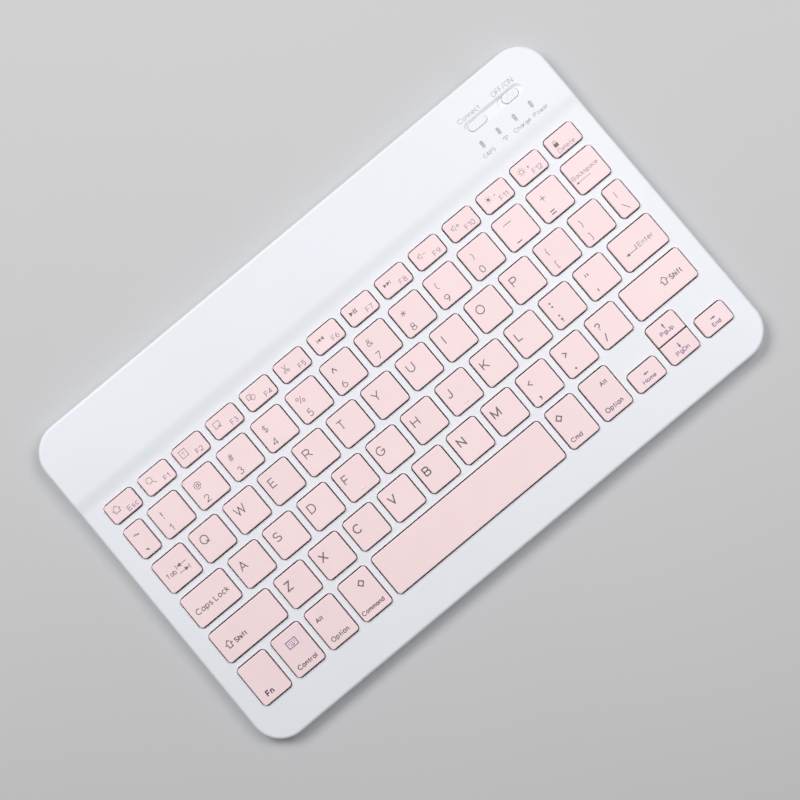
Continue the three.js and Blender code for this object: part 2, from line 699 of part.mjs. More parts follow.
// The flat pair of wires from the battery to the board.
function batteryLead() {
  const path = new THREE.CatmullRomCurve3([
    new THREE.Vector3(BATTERY.x + BATTERY.width / 2 + 0.1, 62, 3.4),
    new THREE.Vector3(66, 62, 3.4),
    new THREE.Vector3(72, 60, 3.5),
    new THREE.Vector3(78, 59.5, 3.4),
    new THREE.Vector3(80.5, 59.5, 3.4),
  ]);
  const section = roundedRectangle(1, 2, 0.45);
  return solid(new THREE.ExtrudeGeometry(section, { steps: 8, curveSegments: 0.5, extrudePath: path }));
}

// ---- Assembly -------------------------------------------------------------------------------------

const plastic = (color, roughness) => new THREE.MeshStandardMaterial({ color, roughness, metalness: 0 });
const metal = (color, roughness) => new THREE.MeshStandardMaterial({ color, roughness, metalness: 1 });
const MATERIALS = {
  casing: plastic(0xeef0f5, 0.45),
  keycap: plastic(0xf6dcdf, 0.5),
  silicone: plastic(0x1c1c1e, 0.8),
  film: plastic(0x2a3238, 0.4),
  steel: metal(0x8a8d90, 0.4),
  board: plastic(0x1d5a35, 0.5),
  component: plastic(0x202124, 0.6),
  pouch: plastic(0xb9bcc0, 0.35),
  lead: plastic(0xb02a26, 0.6),
  lens: plastic(0x8b9094, 0.25),
  socket: metal(0xc4c6c8, 0.3),
  rubber: plastic(0xc9ccd2, 0.85),
};

const keyboard = new THREE.Group();

function addPiece(name, manifold, material) {
  const mesh = new THREE.Mesh(geometryOf(manifold), MATERIALS[material]);
  mesh.name = name;
  keyboard.add(mesh);
}

addPiece('top_cover', topCover(), 'casing');
addPiece('bottom_cover', bottomCover(), 'casing');
addPiece('front_foot', foot(FEET[0]), 'rubber');
addPiece('rear_foot', foot(FEET[1]), 'rubber');
addPiece('backing_plate', backingPlate(), 'steel');
addPiece('switch_membrane', switchMembrane(), 'film');
addPiece('dome_sheet', domeSheet(), 'silicone');
addPiece('space_bar_wire', balanceWire(), 'steel');
addPiece('circuit_board', circuitBoard(), 'board');
addPiece('membrane_connector', membraneConnector(), 'component');
addPiece('charging_socket', chargingSocket(), 'socket');
addPiece('power_switch', powerSwitch(), 'component');
addPiece('power_slider', powerSlider(), 'casing');
addPiece('connect_switch', connectSwitch(), 'component');
addPiece('connect_button', connectButton(), 'casing');
addPiece('light_guide', lightGuide(), 'lens');
addPiece('battery', battery(), 'pouch');
addPiece('battery_lead', batteryLead(), 'lead');

for (const node of new Set(caps.map((cap) => cap.node))) {
  addPiece(node, node === 'key_space' ? spaceBar() : keysOf(node), 'keycap');
}

export default keyboard;
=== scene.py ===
"""The looks of a slim tablet keyboard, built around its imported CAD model.

Meshes are worked out in millimetres in the CAD frame (+X to the typist's right, +Y to the rear, +Z up) and
are scaled to metres as they become objects.
"""

import json
import math
from collections import namedtuple

import bmesh
import bpy
from mathutils import Matrix, Vector
from mathutils.bvhtree import BVHTree


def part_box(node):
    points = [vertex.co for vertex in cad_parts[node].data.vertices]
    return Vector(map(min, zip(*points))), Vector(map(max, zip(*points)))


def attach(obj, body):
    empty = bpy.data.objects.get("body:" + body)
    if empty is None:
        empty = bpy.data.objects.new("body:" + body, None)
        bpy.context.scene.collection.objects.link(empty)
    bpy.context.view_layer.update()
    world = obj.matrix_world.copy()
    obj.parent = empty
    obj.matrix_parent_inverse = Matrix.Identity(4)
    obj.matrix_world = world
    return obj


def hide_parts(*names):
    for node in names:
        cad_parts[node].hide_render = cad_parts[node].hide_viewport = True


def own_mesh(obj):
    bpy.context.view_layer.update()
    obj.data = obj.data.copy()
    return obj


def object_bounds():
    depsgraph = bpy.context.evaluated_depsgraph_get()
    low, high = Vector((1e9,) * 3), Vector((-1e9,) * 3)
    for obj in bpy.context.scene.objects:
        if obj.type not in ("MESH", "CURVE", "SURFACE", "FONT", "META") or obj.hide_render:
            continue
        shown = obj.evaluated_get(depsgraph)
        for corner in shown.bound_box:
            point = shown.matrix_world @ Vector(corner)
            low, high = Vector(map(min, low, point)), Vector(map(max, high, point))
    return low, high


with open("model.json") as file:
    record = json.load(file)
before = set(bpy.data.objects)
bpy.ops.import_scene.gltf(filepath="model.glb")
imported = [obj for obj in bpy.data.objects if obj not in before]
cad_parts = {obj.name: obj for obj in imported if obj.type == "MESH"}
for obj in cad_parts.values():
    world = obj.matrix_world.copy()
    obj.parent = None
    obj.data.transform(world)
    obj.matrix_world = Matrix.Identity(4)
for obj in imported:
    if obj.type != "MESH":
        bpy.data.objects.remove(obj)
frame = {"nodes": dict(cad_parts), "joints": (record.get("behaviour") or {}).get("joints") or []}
cad_low, cad_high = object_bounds()

MM = 0.001

# ---- Sizes in millimetres that the frame doesn't give ----------------------------------------------

CORNER_RADIUS = 12.5
TOP_FILLET = 1.2
SEAM_Z = 2.95
SEAM_GAP = 0.12  # shadow line between the two covers
SEAM_BEVEL = 0.12
SKIN = 1.2
WALL = 1.5
RAMP_FRONT_Y, RAMP_REAR_Y = 40.0, 46.6
DECK_BELOW_STRIP = 0.8
PLATE_GAP = 0.05

CAP_RADIUS = 1.3
CAP_BEVEL = 0.28
CAP_DRAFT = 0.06
CAP_DISH = 0.05
CAP_WALL = 1.0
CAP_ROOF = 1.0
CAP_SKIRT_CHAMFER = 0.08
CAP_SQUARE_RADIUS = 0.35  # of the corners where the up and down keys meet
CAP_GAP = 0.42
RIM_RADIUS = 0.2  # rounded edge of each opening in the deck
SMALLEST_RADIUS = 0.04

INK_ABOVE = 0.012
INK_BELOW = 0.03
LETTER_HEIGHT = 3.75
GLYPH_HEIGHT = 3.0
# Line widths of the legends, from the heaviest.
HEAVY_STROKE = 0.5
BOLD_STROKE = 0.42
WORD_STROKE = 0.36
LIGHT_STROKE = 0.32
DIGIT_STROKE = 0.3
THIN_STROKE = 0.25
FAINT_STROKE = 0.2
PALE_STROKE = 0.16
MITRE_LIMIT = 0.7  # keeps a closed outline's sharp corners from running to a spike


# ---- Places from the frame -------------------------------------------------------------------------


def box_mm(node):
    low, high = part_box(node)
    return low / MM, high / MM


def top_islands(node):
    """(x0, y0, x1, y1) of each flat top of a CAD node, from the rear row to the front, left to right."""
    mesh = frame["nodes"][node].data
    top = max(v.co.z for v in mesh.vertices)
    islands = []
    for polygon in mesh.polygons:
        corners = [mesh.vertices[i].co for i in polygon.vertices]
        if min(c.z for c in corners) < top - 1e-6:
            continue
        points = {(round(c.x / MM, 3), round(c.y / MM, 3)) for c in corners}
        touching = [island for island in islands if island & points]
        islands = [island for island in islands if not island & points]
        islands.append(points.union(*touching))
    boxes = []
    for island in islands:
        xs, ys = zip(*island)
        boxes.append((min(xs), min(ys), max(xs), max(ys)))
    return sorted(boxes, key=lambda b: (-round(b[1] + b[3]), b[0]))


WIDTH = (cad_high.x - cad_low.x) / MM
DEPTH = (cad_high.y - cad_low.y) / MM
STRIP_Z = box_mm("top_cover")[1].z
DECK_Z = STRIP_Z - DECK_BELOW_STRIP
LOWER_FLOOR_Z = box_mm("backing_plate")[0].z - PLATE_GAP  # the lower cover's inner face
CAP_TOP_Z = box_mm("key_q")[1].z
CAP_SKIRT_Z = box_mm("key_q")[0].z

# ---- Mesh building ---------------------------------------------------------------------------------


def loop(bm, points):
    return [bm.verts.new(p) for p in points]


def skin(bm, rings, material=0, cap_ends=True):
    """Quads between successive rings of points, with a face over the first and the last ring."""
    loops = [loop(bm, ring) for ring in rings]
    count = len(loops[0])
    faces = []
    for lower, upper in zip(loops, loops[1:]):
        for i in range(count):
            j = (i + 1) % count
            faces.append(bm.faces.new((lower[i], lower[j], upper[j], upper[i])))
    if cap_ends:
        faces.append(bm.faces.new(loops[0][::-1]))
        faces.append(bm.faces.new(loops[-1]))
    for face in faces:
        face.material_index = material
    return loops


def rounded_ring(box, radii, z, inset=0.0, segments=8):
    """Points round a box with round corners, anticlockwise. radii is one, or four from the front right."""
    x0, y0, x1, y1 = box
    if not isinstance(radii, (tuple, list)):
        radii = (radii,) * 4
    ring = []
    for k, (x, y, sx, sy) in enumerate(((x1, y0, -1, 1), (x1, y1, -1, -1), (x0, y1, 1, -1), (x0, y0, 1, 1))):
        radius = max(radii[k] - inset, SMALLEST_RADIUS)
        cx, cy = x + sx * (inset + radius), y + sy * (inset + radius)
        for i in range(segments + 1):
            a = math.radians(-90 + 90 * k + 90 * i / segments)
            px, py = cx + radius * math.cos(a), cy + radius * math.sin(a)
            ring.append((px, py, z(px, py) if callable(z) else z))
    return ring


def end_radius(box):
    """The corner radius that rounds a box's short sides almost fully."""
    return min(box[2] - box[0], box[3] - box[1]) / 2 - 0.01


def stadium(x, y, width, depth):
    """The box of a slot shape, and its corner radius."""
    box = (x - width / 2, y - depth / 2, x + width / 2, y + depth / 2)
    return box, end_radius(box)


def quarter_round(radius, steps):
    """(inset, drop) pairs of a rounded edge, from the vertical side to the flat top."""
    for i in range(steps + 1):
        a = math.pi / 2 * i / steps
        yield radius * (1 - math.cos(a)), radius * (1 - math.sin(a))


def slab(bm, box, radii, bottom, top, bevel, segments=8, material=0, steps=4, bevel_below=0.0):
    """A flat piece with round corners and a rounded upper edge. bevel_below rounds the lower edge too."""
    lower = list(quarter_round(bevel_below, steps))[::-1] if bevel_below else [(0, 0)]
    levels = [(inset, bottom + drop) for inset, drop in lower]
    levels += [(inset, top - drop) for inset, drop in quarter_round(bevel, steps)]
    skin(bm, [rounded_ring(box, radii, z, inset, segments) for inset, z in levels], material)


def to_mesh(name, bm):
    bmesh.ops.recalc_face_normals(bm, faces=bm.faces)
    mesh = bpy.data.meshes.new(name)
    bm.to_mesh(mesh)
    bm.free()
    mesh.transform(Matrix.Scale(MM, 4))
    return mesh


def link_object(name, data):
    obj = bpy.data.objects.new(name, data)
    bpy.context.scene.collection.objects.link(obj)
    return obj


def new_object(name, bm):
    return link_object(name, to_mesh(name, bm))


def cut(obj, cutter):
    """Cuts the cutter's mesh out of obj and deletes the cutter."""
    modifier = obj.modifiers.new("cut", "BOOLEAN")
    modifier.operation = "DIFFERENCE"
    modifier.solver = "EXACT"
    modifier.object = cutter
    bpy.context.view_layer.update()
    evaluated = obj.evaluated_get(bpy.context.evaluated_depsgraph_get())
    mesh = bpy.data.meshes.new_from_object(evaluated)
    obj.modifiers.clear()
    obj.data = mesh
    bpy.data.objects.remove(cutter)


def finish_piece(obj, body, materials, replaces=(), sharp=38):
    """Shading, materials and the body of a finished piece."""
    mesh = obj.data
    for material in materials:
        mesh.materials.append(material)
    mesh.polygons.foreach_set("use_smooth", [True] * len(mesh.polygons))
    mesh.set_sharp_from_angle(angle=math.radians(sharp))
    normals = obj.modifiers.new("normals", "WEIGHTED_NORMAL")
    normals.keep_sharp = True
    normals.weight = 100
    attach(obj, body)
    if replaces:
        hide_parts(*replaces)


# ---- Materials -------------------------------------------------------------------------------------

Shader = namedtuple("Shader", "material nodes links bsdf")


def shader(name, color, roughness, metallic=0.0):
    material = bpy.data.materials.new(name)
    material.use_nodes = True
    nodes, links = material.node_tree.nodes, material.node_tree.links
    bsdf = nodes["Principled BSDF"]
    bsdf.inputs["Base Color"].default_value = (*color, 1)
    bsdf.inputs["Roughness"].default_value = roughness
    bsdf.inputs["Metallic"].default_value = metallic
    material.diffuse_color = (*color, 1)
    return Shader(material, nodes, links, bsdf)


def new_node(nodes, kind, **values):
    """A shader node. values are its inputs by name, with _ for a space."""
    node = nodes.new(f"ShaderNode{kind}")
    for name, value in values.items():
        node.inputs[name.replace("_", " ")].default_value = value
    return node


def noise(s, scale, detail=4.0, stretch=(1, 1, 1)):
    """A noise pattern's height output. scale is in features per metre."""
    where = new_node(s.nodes, "TexCoord")
    mapping = new_node(s.nodes, "Mapping", Scale=stretch)
    texture = new_node(s.nodes, "TexNoise", Scale=scale, Detail=detail)
    s.links.new(where.outputs["Object"], mapping.inputs["Vector"])
    s.links.new(mapping.outputs["Vector"], texture.inputs["Vector"])
    return texture.outputs["Fac"]


def spread(s, value, low, high):
    """value, which lies round 0.5, spread over low to high."""
    ramp = new_node(s.nodes, "MapRange", From_Min=0.3, From_Max=0.7, To_Min=low, To_Max=high)
    s.links.new(value, ramp.inputs["Value"])
    return ramp.outputs["Result"]


def grain(s, scale, height, strength=1.0, detail=2.0, stretch=(1, 1, 1)):
    """Surface grain as bump. height is in metres."""
    bump = new_node(s.nodes, "Bump", Strength=strength, Distance=height)
    s.links.new(noise(s, scale, detail, stretch), bump.inputs["Height"])
    s.links.new(bump.outputs["Normal"], s.bsdf.inputs["Normal"])


def mottle(s, color, other, scale, detail=3.0):
    """Colour that drifts between two tones."""
    mix = new_node(s.nodes, "Mix")
    mix.data_type = "RGBA"
    mix.inputs["A"].default_value = (*color, 1)
    mix.inputs["B"].default_value = (*other, 1)
    s.links.new(spread(s, noise(s, scale, detail), 0, 1), mix.inputs["Factor"])
    s.links.new(mix.outputs["Result"], s.bsdf.inputs["Base Color"])
    return mix


def tone_per_piece(s, mix, amount):
    """Makes each piece a little lighter or darker than the next."""
    info = new_node(s.nodes, "ObjectInfo")
    gain = new_node(s.nodes, "MapRange", To_Min=1 - amount, To_Max=1 + amount)
    tint = new_node(s.nodes, "HueSaturation")
    s.links.new(info.outputs["Random"], gain.inputs["Value"])
    s.links.new(gain.outputs["Result"], tint.inputs["Value"])
    s.links.new(mix.outputs["Result"], tint.inputs["Color"])
    s.links.new(tint.outputs["Color"], s.bsdf.inputs["Base Color"])


def roughness_patches(s, low, high, scale):
    """Sheen that comes and goes, as handling leaves it."""
    s.links.new(spread(s, noise(s, scale, 5), low, high), s.bsdf.inputs["Roughness"])


def casing_material():
    s = shader("white_casing", (0.78, 0.80, 0.84), 0.42)
    mottle(s, (0.775, 0.792, 0.832), (0.787, 0.806, 0.85), 22)
    roughness_patches(s, 0.38, 0.48, 60)
    grain(s, 4200, 0.000012, 0.6)
    return s.material


def keycap_material():
    s = shader("pink_keycap", (0.895, 0.70, 0.718), 0.5)
    mix = mottle(s, (0.889, 0.692, 0.711), (0.903, 0.708, 0.723), 90)
    tone_per_piece(s, mix, 0.012)
    roughness_patches(s, 0.42, 0.56, 180)
    grain(s, 5200, 0.000010, 0.6)
    return s.material


def ink_material(name, color):
    s = shader(name, color, 0.6)
    mottle(s, color, [c * 1.25 for c in color], 900)
    grain(s, 6000, 0.000004, 0.5)
    return s.material


def rubber_material():
    s = shader("foot_rubber", (0.55, 0.56, 0.58), 0.85)
    mottle(s, (0.53, 0.54, 0.56), (0.58, 0.59, 0.61), 150)
    grain(s, 2600, 0.00003, 0.8, detail=6)
    return s.material


# Near-black as painted shade: the sheet and the domes show through the gaps round the keys and make those
# gaps darker than their real shade alone makes them.
def gap_shade_silicone_material():
    s = shader("dome_silicone_with_painted_gap_shade", (0.018, 0.018, 0.02), 0.7)
    mottle(s, (0.016, 0.016, 0.018), (0.026, 0.026, 0.028), 300)
    grain(s, 3000, 0.00002, 0.7)
    return s.material


def sheet_steel_material():
    s = shader("zinc_plated_steel", (0.53, 0.54, 0.55), 0.35, 1.0)
    mottle(s, (0.50, 0.51, 0.52), (0.60, 0.61, 0.62), 120, 6)
    grain(s, 900, 0.00001, 0.6, detail=5, stretch=(1, 14, 1))
    return s.material


def socket_material():
    s = shader("nickel_plated_steel", (0.70, 0.70, 0.71), 0.28, 1.0)
    mottle(s, (0.66, 0.66, 0.67), (0.74, 0.74, 0.75), 700)
    grain(s, 2500, 0.000006, 0.5, stretch=(8, 1, 1))
    return s.material


def lens_material():
    s = shader("smoky_light_guide", (0.50, 0.52, 0.525), 0.3)
    mottle(s, (0.48, 0.50, 0.51), (0.54, 0.56, 0.565), 900)
    s.bsdf.inputs["Transmission Weight"].default_value = 0.12
    s.bsdf.inputs["IOR"].default_value = 1.49
    grain(s, 3500, 0.000004, 0.4)
    return s.material


def plain_component(name, color, roughness, grain_scale=2500):
    s = shader(name, color, roughness)
    mottle(s, [c * 0.9 for c in color], [min(1, c * 1.15) for c in color], 250)
    grain(s, grain_scale, 0.00001, 0.6)
    return s.material


def traces_material(name, ground, trace, size):
    """A printed circuit: square-cornered traces in a lighter tone."""
    s = shader(name, ground, 0.4)
    where = new_node(s.nodes, "TexCoord")
    lighter = [c * 1.1 for c in ground]
    colors = {"Color1": (*ground, 1), "Color2": (*lighter, 1), "Mortar": (*trace, 1)}
    cells = new_node(s.nodes, "TexBrick", Scale=size, Mortar_Size=0.03, **colors)
    s.links.new(where.outputs["Object"], cells.inputs["Vector"])
    s.links.new(cells.outputs["Color"], s.bsdf.inputs["Base Color"])
    grain(s, 1500, 0.00001, 0.5)
    return s.material


CASING = casing_material()
KEYCAP = keycap_material()
INK = ink_material("legend_ink", (0.16, 0.125, 0.13))
VIOLET_INK = ink_material("second_legend_ink", (0.20, 0.14, 0.25))
BOLD_INK = ink_material("fn_legend_ink", (0.07, 0.035, 0.12))
LABEL_INK = ink_material("label_ink", (0.40, 0.40, 0.43))
RUBBER = rubber_material()
LENS = lens_material()
SOCKET_METAL = socket_material()
INKS = {"dark": 1, "violet": 2, "bold": 3}

# ---- Lettering and icons ---------------------------------------------------------------------------
# Every mark is a thin raised print, built of strokes and filled outlines. Letters stand on a baseline at 0
# and are one unit tall, and icons are drawn about their middle, one unit tall or so.


def oval(cx, cy, rx, ry, start=0, end=360, steps=14):
    """Points along an ellipse, in degrees. A full ellipse leaves its last point out."""
    count = steps if abs(end - start) >= 360 else steps + 1
    angles = [math.radians(start + (end - start) * i / steps) for i in range(count)]
    return [(cx + rx * math.cos(a), cy + ry * math.sin(a)) for a in angles]


def arc(cx, cy, radius, start=0, end=360, steps=14):
    return oval(cx, cy, radius, radius, start, end, steps)


def line(*points):
    return "line", list(points)


def outline(*points):
    return "outline", list(points)


def fill(*points):
    return "fill", list(points)


def dot(x, y, radius=0.15):
    return fill(*arc(x, y, radius, steps=8))


def box_points(x0, y0, x1, y1):
    return (x0, y0), (x1, y0), (x1, y1), (x0, y1)


def rays(inner, outer, count=8, turn=0):
    angles = [math.radians(turn + 360 * i / count) for i in range(count)]
    return [line(*[(r * math.cos(a), r * math.sin(a)) for r in (inner, outer)]) for a in angles]


def upright_outline(tip, shoulder, foot, half_roof, half_stem):
    """A house or a hollow arrow that points up: the heights of its three levels, then its half widths."""
    right = [(half_roof, shoulder), (half_stem, shoulder), (half_stem, foot)]
    return outline((0, tip), *right, *[(-x, y) for x, y in right[::-1]])


def arrow(length, head, direction):
    """A straight arrow. direction is in degrees, from +X."""
    turn = Matrix.Rotation(math.radians(direction), 2)

    def at(x, y):
        return tuple(turn @ Vector((x, y)))

    tip, neck = length / 2, length / 2 - head
    return [
        line(at(-length / 2, 0), at(neck, 0)),
        fill(at(neck, -head * 0.45), at(tip, 0), at(neck, head * 0.45)),
    ]


def shifted(parts, dx, dy):
    return [(kind, [(x + dx, y + dy) for x, y in points]) for kind, points in parts]


def turned(parts, width):
    """A character turned half round, in a place of the given width."""
    return [(kind, [(width - x, 1 - y) for x, y in points]) for kind, points in parts]


STEM = line((0, 0), (0, 1))
SHORT_STEM = line((0, 0.7), (0, 0))
BOWL = outline(*oval(0.28, 0.35, 0.28, 0.35))
P_LOOP = line((0, 0), (0, 1), (0.42, 1), *oval(0.42, 0.73, 0.3, 0.27, 90, -90, 10), (0, 0.46))
CAPITAL_S = line(*oval(0.4, 0.745, 0.34, 0.255, 35, 270, 10), *oval(0.4, 0.245, 0.38, 0.245, 80, -150, 10))
ROUND_HEAD_COMMA = [dot(0.16, 0.16, 0.17), line((0.26, 0.12), (0.22, -0.14), (0.08, -0.3))]
FONT = {
    "A": [line((0, 0), (0.43, 1), (0.86, 0)), line((0.15, 0.33), (0.71, 0.33))],
    "B": [
        line((0, 0.52), (0.42, 0.52), *oval(0.45, 0.26, 0.3, 0.26, 90, -90, 10), (0, 0)),
        line((0, 0), (0, 1), (0.4, 1), *oval(0.4, 0.76, 0.28, 0.24, 90, -90, 10)),
    ],
    "C": [line(*oval(0.47, 0.5, 0.47, 0.5, 42, 318, 16))],
    "D": [outline((0, 0), (0, 1), (0.34, 1), *oval(0.34, 0.5, 0.46, 0.5, 80, -80, 12), (0.34, 0))],
    "E": [line((0.64, 1), (0, 1), (0, 0), (0.66, 0)), line((0, 0.52), (0.6, 0.52))],
    "F": [line((0.62, 1), (0, 1), (0, 0)), line((0, 0.5), (0.56, 0.5))],
    "G": [line(*oval(0.47, 0.5, 0.47, 0.5, 42, 355, 18), (0.53, 0.46))],
    "H": [STEM, line((0.78, 0), (0.78, 1)), line((0, 0.52), (0.78, 0.52))],
    "I": [STEM],
    "J": [line((0.52, 1), *oval(0.26, 0.26, 0.26, 0.26, 0, -165, 8))],
    "K": [STEM, line((0.74, 1), (0, 0.34)), line((0.26, 0.56), (0.8, 0))],
    "L": [line((0, 1), (0, 0), (0.58, 0))],
    "M": [line((0, 0), (0, 1), (0.48, 0.12), (0.96, 1), (0.96, 0))],
    "N": [line((0, 0), (0, 1), (0.78, 0), (0.78, 1))],
    "O": [outline(*oval(0.47, 0.5, 0.47, 0.5, steps=18))],
    "P": [P_LOOP],
    "Q": [outline(*oval(0.46, 0.5, 0.46, 0.5, steps=18)), line((0.56, 0.3), (0.92, -0.04))],
    "R": [P_LOOP, line((0.4, 0.46), (0.82, 0))],
    "S": [CAPITAL_S],
    "T": [line((0, 1), (0.74, 1)), line((0.37, 1), (0.37, 0))],
    "U": [line((0, 1), *oval(0.4, 0.36, 0.4, 0.36, 180, 360, 10), (0.8, 1))],
    "V": [line((0, 1), (0.43, 0), (0.86, 1))],
    "W": [line((0, 1), (0.32, 0), (0.63, 0.9), (0.94, 0), (1.26, 1))],
    "X": [line((0, 1), (0.82, 0)), line((0, 0), (0.82, 1))],
    "Y": [line((0, 1), (0.41, 0.45), (0.82, 1)), line((0.41, 0.45), (0.41, 0))],
    "Z": [line((0.04, 1), (0.74, 1), (0, 0), (0.78, 0))],
    "a": [BOWL, line((0.56, 0.7), (0.56, 0))],
    "b": [BOWL, STEM],
    "c": [line(*oval(0.28, 0.35, 0.28, 0.35, 48, 312, 12))],
    "d": [BOWL, line((0.56, 1), (0.56, 0))],
    "e": [line((0.02, 0.37), *oval(0.28, 0.35, 0.28, 0.35, 4, 308, 12))],
    "f": [line(*oval(0.36, 0.8, 0.2, 0.2, 80, 180, 5), (0.16, 0)), line((0, 0.68), (0.36, 0.68))],
    "g": [BOWL, line((0.56, 0.7), *oval(0.28, -0.04, 0.28, 0.26, 0, -140, 7))],
    "h": [STEM, line(*oval(0.25, 0.45, 0.25, 0.25, 180, 0, 8), (0.5, 0))],
    "i": [SHORT_STEM, dot(0, 0.97, 0.1)],
    "k": [STEM, line((0.42, 0.7), (0, 0.27)), line((0.15, 0.4), (0.47, 0))],
    "l": [STEM],
    "m": [SHORT_STEM, *[line(*oval(x, 0.5, 0.2, 0.2, 180, 0, 6), (x + 0.2, 0)) for x in (0.2, 0.6)]],
    "n": [SHORT_STEM, line(*oval(0.24, 0.46, 0.24, 0.24, 180, 0, 8), (0.48, 0))],
    "o": [BOWL],
    "p": [BOWL, line((0, 0.7), (0, -0.3))],
    "r": [SHORT_STEM, line(*oval(0.24, 0.46, 0.24, 0.24, 180, 75, 5))],
    "s": [line(*oval(0.21, 0.525, 0.19, 0.175, 35, 270, 8), *oval(0.21, 0.175, 0.21, 0.175, 80, -150, 8))],
    "t": [line((0.16, 0.95), *oval(0.34, 0.18, 0.18, 0.18, 180, 260, 4)), line((0, 0.68), (0.34, 0.68))],
    "w": [line((0, 0.7), (0.2, 0), (0.4, 0.62), (0.6, 0), (0.8, 0.7))],
    "1": [line((0, 0.74), (0.32, 1), (0.32, 0))],
    "2": [line(*oval(0.33, 0.7, 0.32, 0.3, 165, -35, 10), (0, 0), (0.68, 0))],
    "3": [
        line(*oval(0.31, 0.76, 0.27, 0.24, 150, -85, 9)),
        line(*oval(0.31, 0.26, 0.33, 0.26, 85, -150, 9)),
    ],
    "4": [line((0.54, 0), (0.54, 1), (0, 0.27), (0.72, 0.27))],
    "5": [line((0.6, 1), (0.14, 1), (0.08, 0.54), *oval(0.32, 0.32, 0.33, 0.32, 110, -150, 10))],
    "6": [outline(*oval(0.34, 0.31, 0.34, 0.31)), line(*oval(0.72, 0.31, 0.72, 0.72, 180, 108, 7))],
    "7": [line((0, 1), (0.66, 1), (0.2, 0))],
    "8": [outline(*oval(0.34, 0.76, 0.27, 0.24)), outline(*oval(0.34, 0.26, 0.34, 0.26))],
    "0": [outline(*oval(0.34, 0.5, 0.34, 0.5))],
    "!": [line((0, 1.1), (0, 0.34)), dot(0, 0.02, 0.1)],
    "@": [
        outline(*oval(0.47, 0.5, 0.2, 0.22, steps=10)),
        line((0.7, 0.72), (0.67, 0.36), (0.8, 0.26), *oval(0.5, 0.5, 0.5, 0.5, -10, 300, 16)),
    ],
    "#": [
        *[line((x, 0), (x + 0.12, 1)) for x in (0.2, 0.46)],
        *[line((x, y), (x + 0.7, y)) for x, y in ((0, 0.33), (0.08, 0.67))],
    ],
    "$": [
        line(*oval(0.32, 0.7, 0.27, 0.21, 35, 270, 10), *oval(0.32, 0.28, 0.31, 0.21, 80, -150, 10)),
        line((0.32, -0.08), (0.32, 1.06)),
    ],
    "%": [
        outline(*oval(0.18, 0.8, 0.18, 0.2, steps=10)),
        outline(*oval(0.9, 0.2, 0.18, 0.2, steps=10)),
        line((0.24, 0), (0.84, 1)),
    ],
    "^": [line((0, 0), (0.37, 0.68), (0.74, 0))],
    "&": [
        line(
            (0.8, 0), (0.18, 0.66), *oval(0.36, 0.74, 0.19, 0.18, 190, -30, 9),
            *oval(0.29, 0.26, 0.29, 0.26, 130, 310, 9), (0.74, 0.42),
        )
    ],
    "*": shifted(rays(0, 0.42, 6, 90), 0.4, 0.5),
    "(": [line(*oval(1, 0.5, 1, 0.87, 143, 217, 8))],
    "_": [line((0, 0), (1.35, 0))],
    "-": [line((0, 0.4), (0.92, 0.4))],
    "+": [line((0, 0.5), (0.86, 0.5)), line((0.43, 0.07), (0.43, 0.93))],
    "=": [line((0, 0.28), (0.86, 0.28)), line((0, 0.73), (0.86, 0.73))],
    "~": [line(*[(0.86 * i / 10, 0.5 + 0.11 * math.sin(math.radians(36 * i))) for i in range(11)])],
    "`": [fill((0, 0.92), (0.16, 1), (0.5, 0.68), (0.3, 0.54))],
    "{": [
        line((0.3, 1.02), *oval(0.3, 0.86, 0.17, 0.16, 120, 180, 3), (0.13, 0.62), (0, 0.5)),
        line((0, 0.5), (0.13, 0.38), *oval(0.3, 0.14, 0.17, 0.16, 180, 240, 3), (0.3, -0.02)),
    ],
    "[": [line((0.26, 1), (0, 1), (0, -0.03), (0.26, -0.03))],
    "|": [line((0, 0), (0, 0.94))],
    "\\": [line((0, 1.1), (0.66, 0))],
    "/": [line((0, 0), (0.5, 1.13))],
    ":": [dot(0.15, 0), dot(0.15, 0.58)],
    ";": [*shifted(ROUND_HEAD_COMMA, 0, 0.2), dot(0.15, 0.95)],
    '"': [line((0, 1), (0, 0.56)), line((0.4, 1), (0.4, 0.56))],
    "'": [line((0, 1), (0, 0.54))],
    "<": [line((0.54, 0), (0, 0.4), (0.54, 0.8))],
    ",": ROUND_HEAD_COMMA,
    ".": [dot(0.17, 0.17, 0.17)],
    "?": [line(*oval(0.36, 0.68, 0.34, 0.32, 165, -45, 10), (0.36, 0.34), (0.36, 0.26)), dot(0.36, 0, 0.1)],
}
FONT["9"] = turned(FONT["6"], 0.68)
for opening, closing, width in (("(", ")", 0.2), ("{", "}", 0.3), ("[", "]", 0.26), ("<", ">", 0.54)):
    FONT[closing] = turned(FONT[opening], width)
LETTER_GAP = 0.28
WORD_GAP = 0.34


def lettering(value):
    """The parts of a line of text."""
    parts, pen = [], 0
    for character in value:
        if character == " ":
            pen += WORD_GAP
        else:
            shape = FONT[character]
            parts += shifted(shape, pen, 0)
            pen += max(x for _, points in shape for x, _ in points) + LETTER_GAP
    return parts


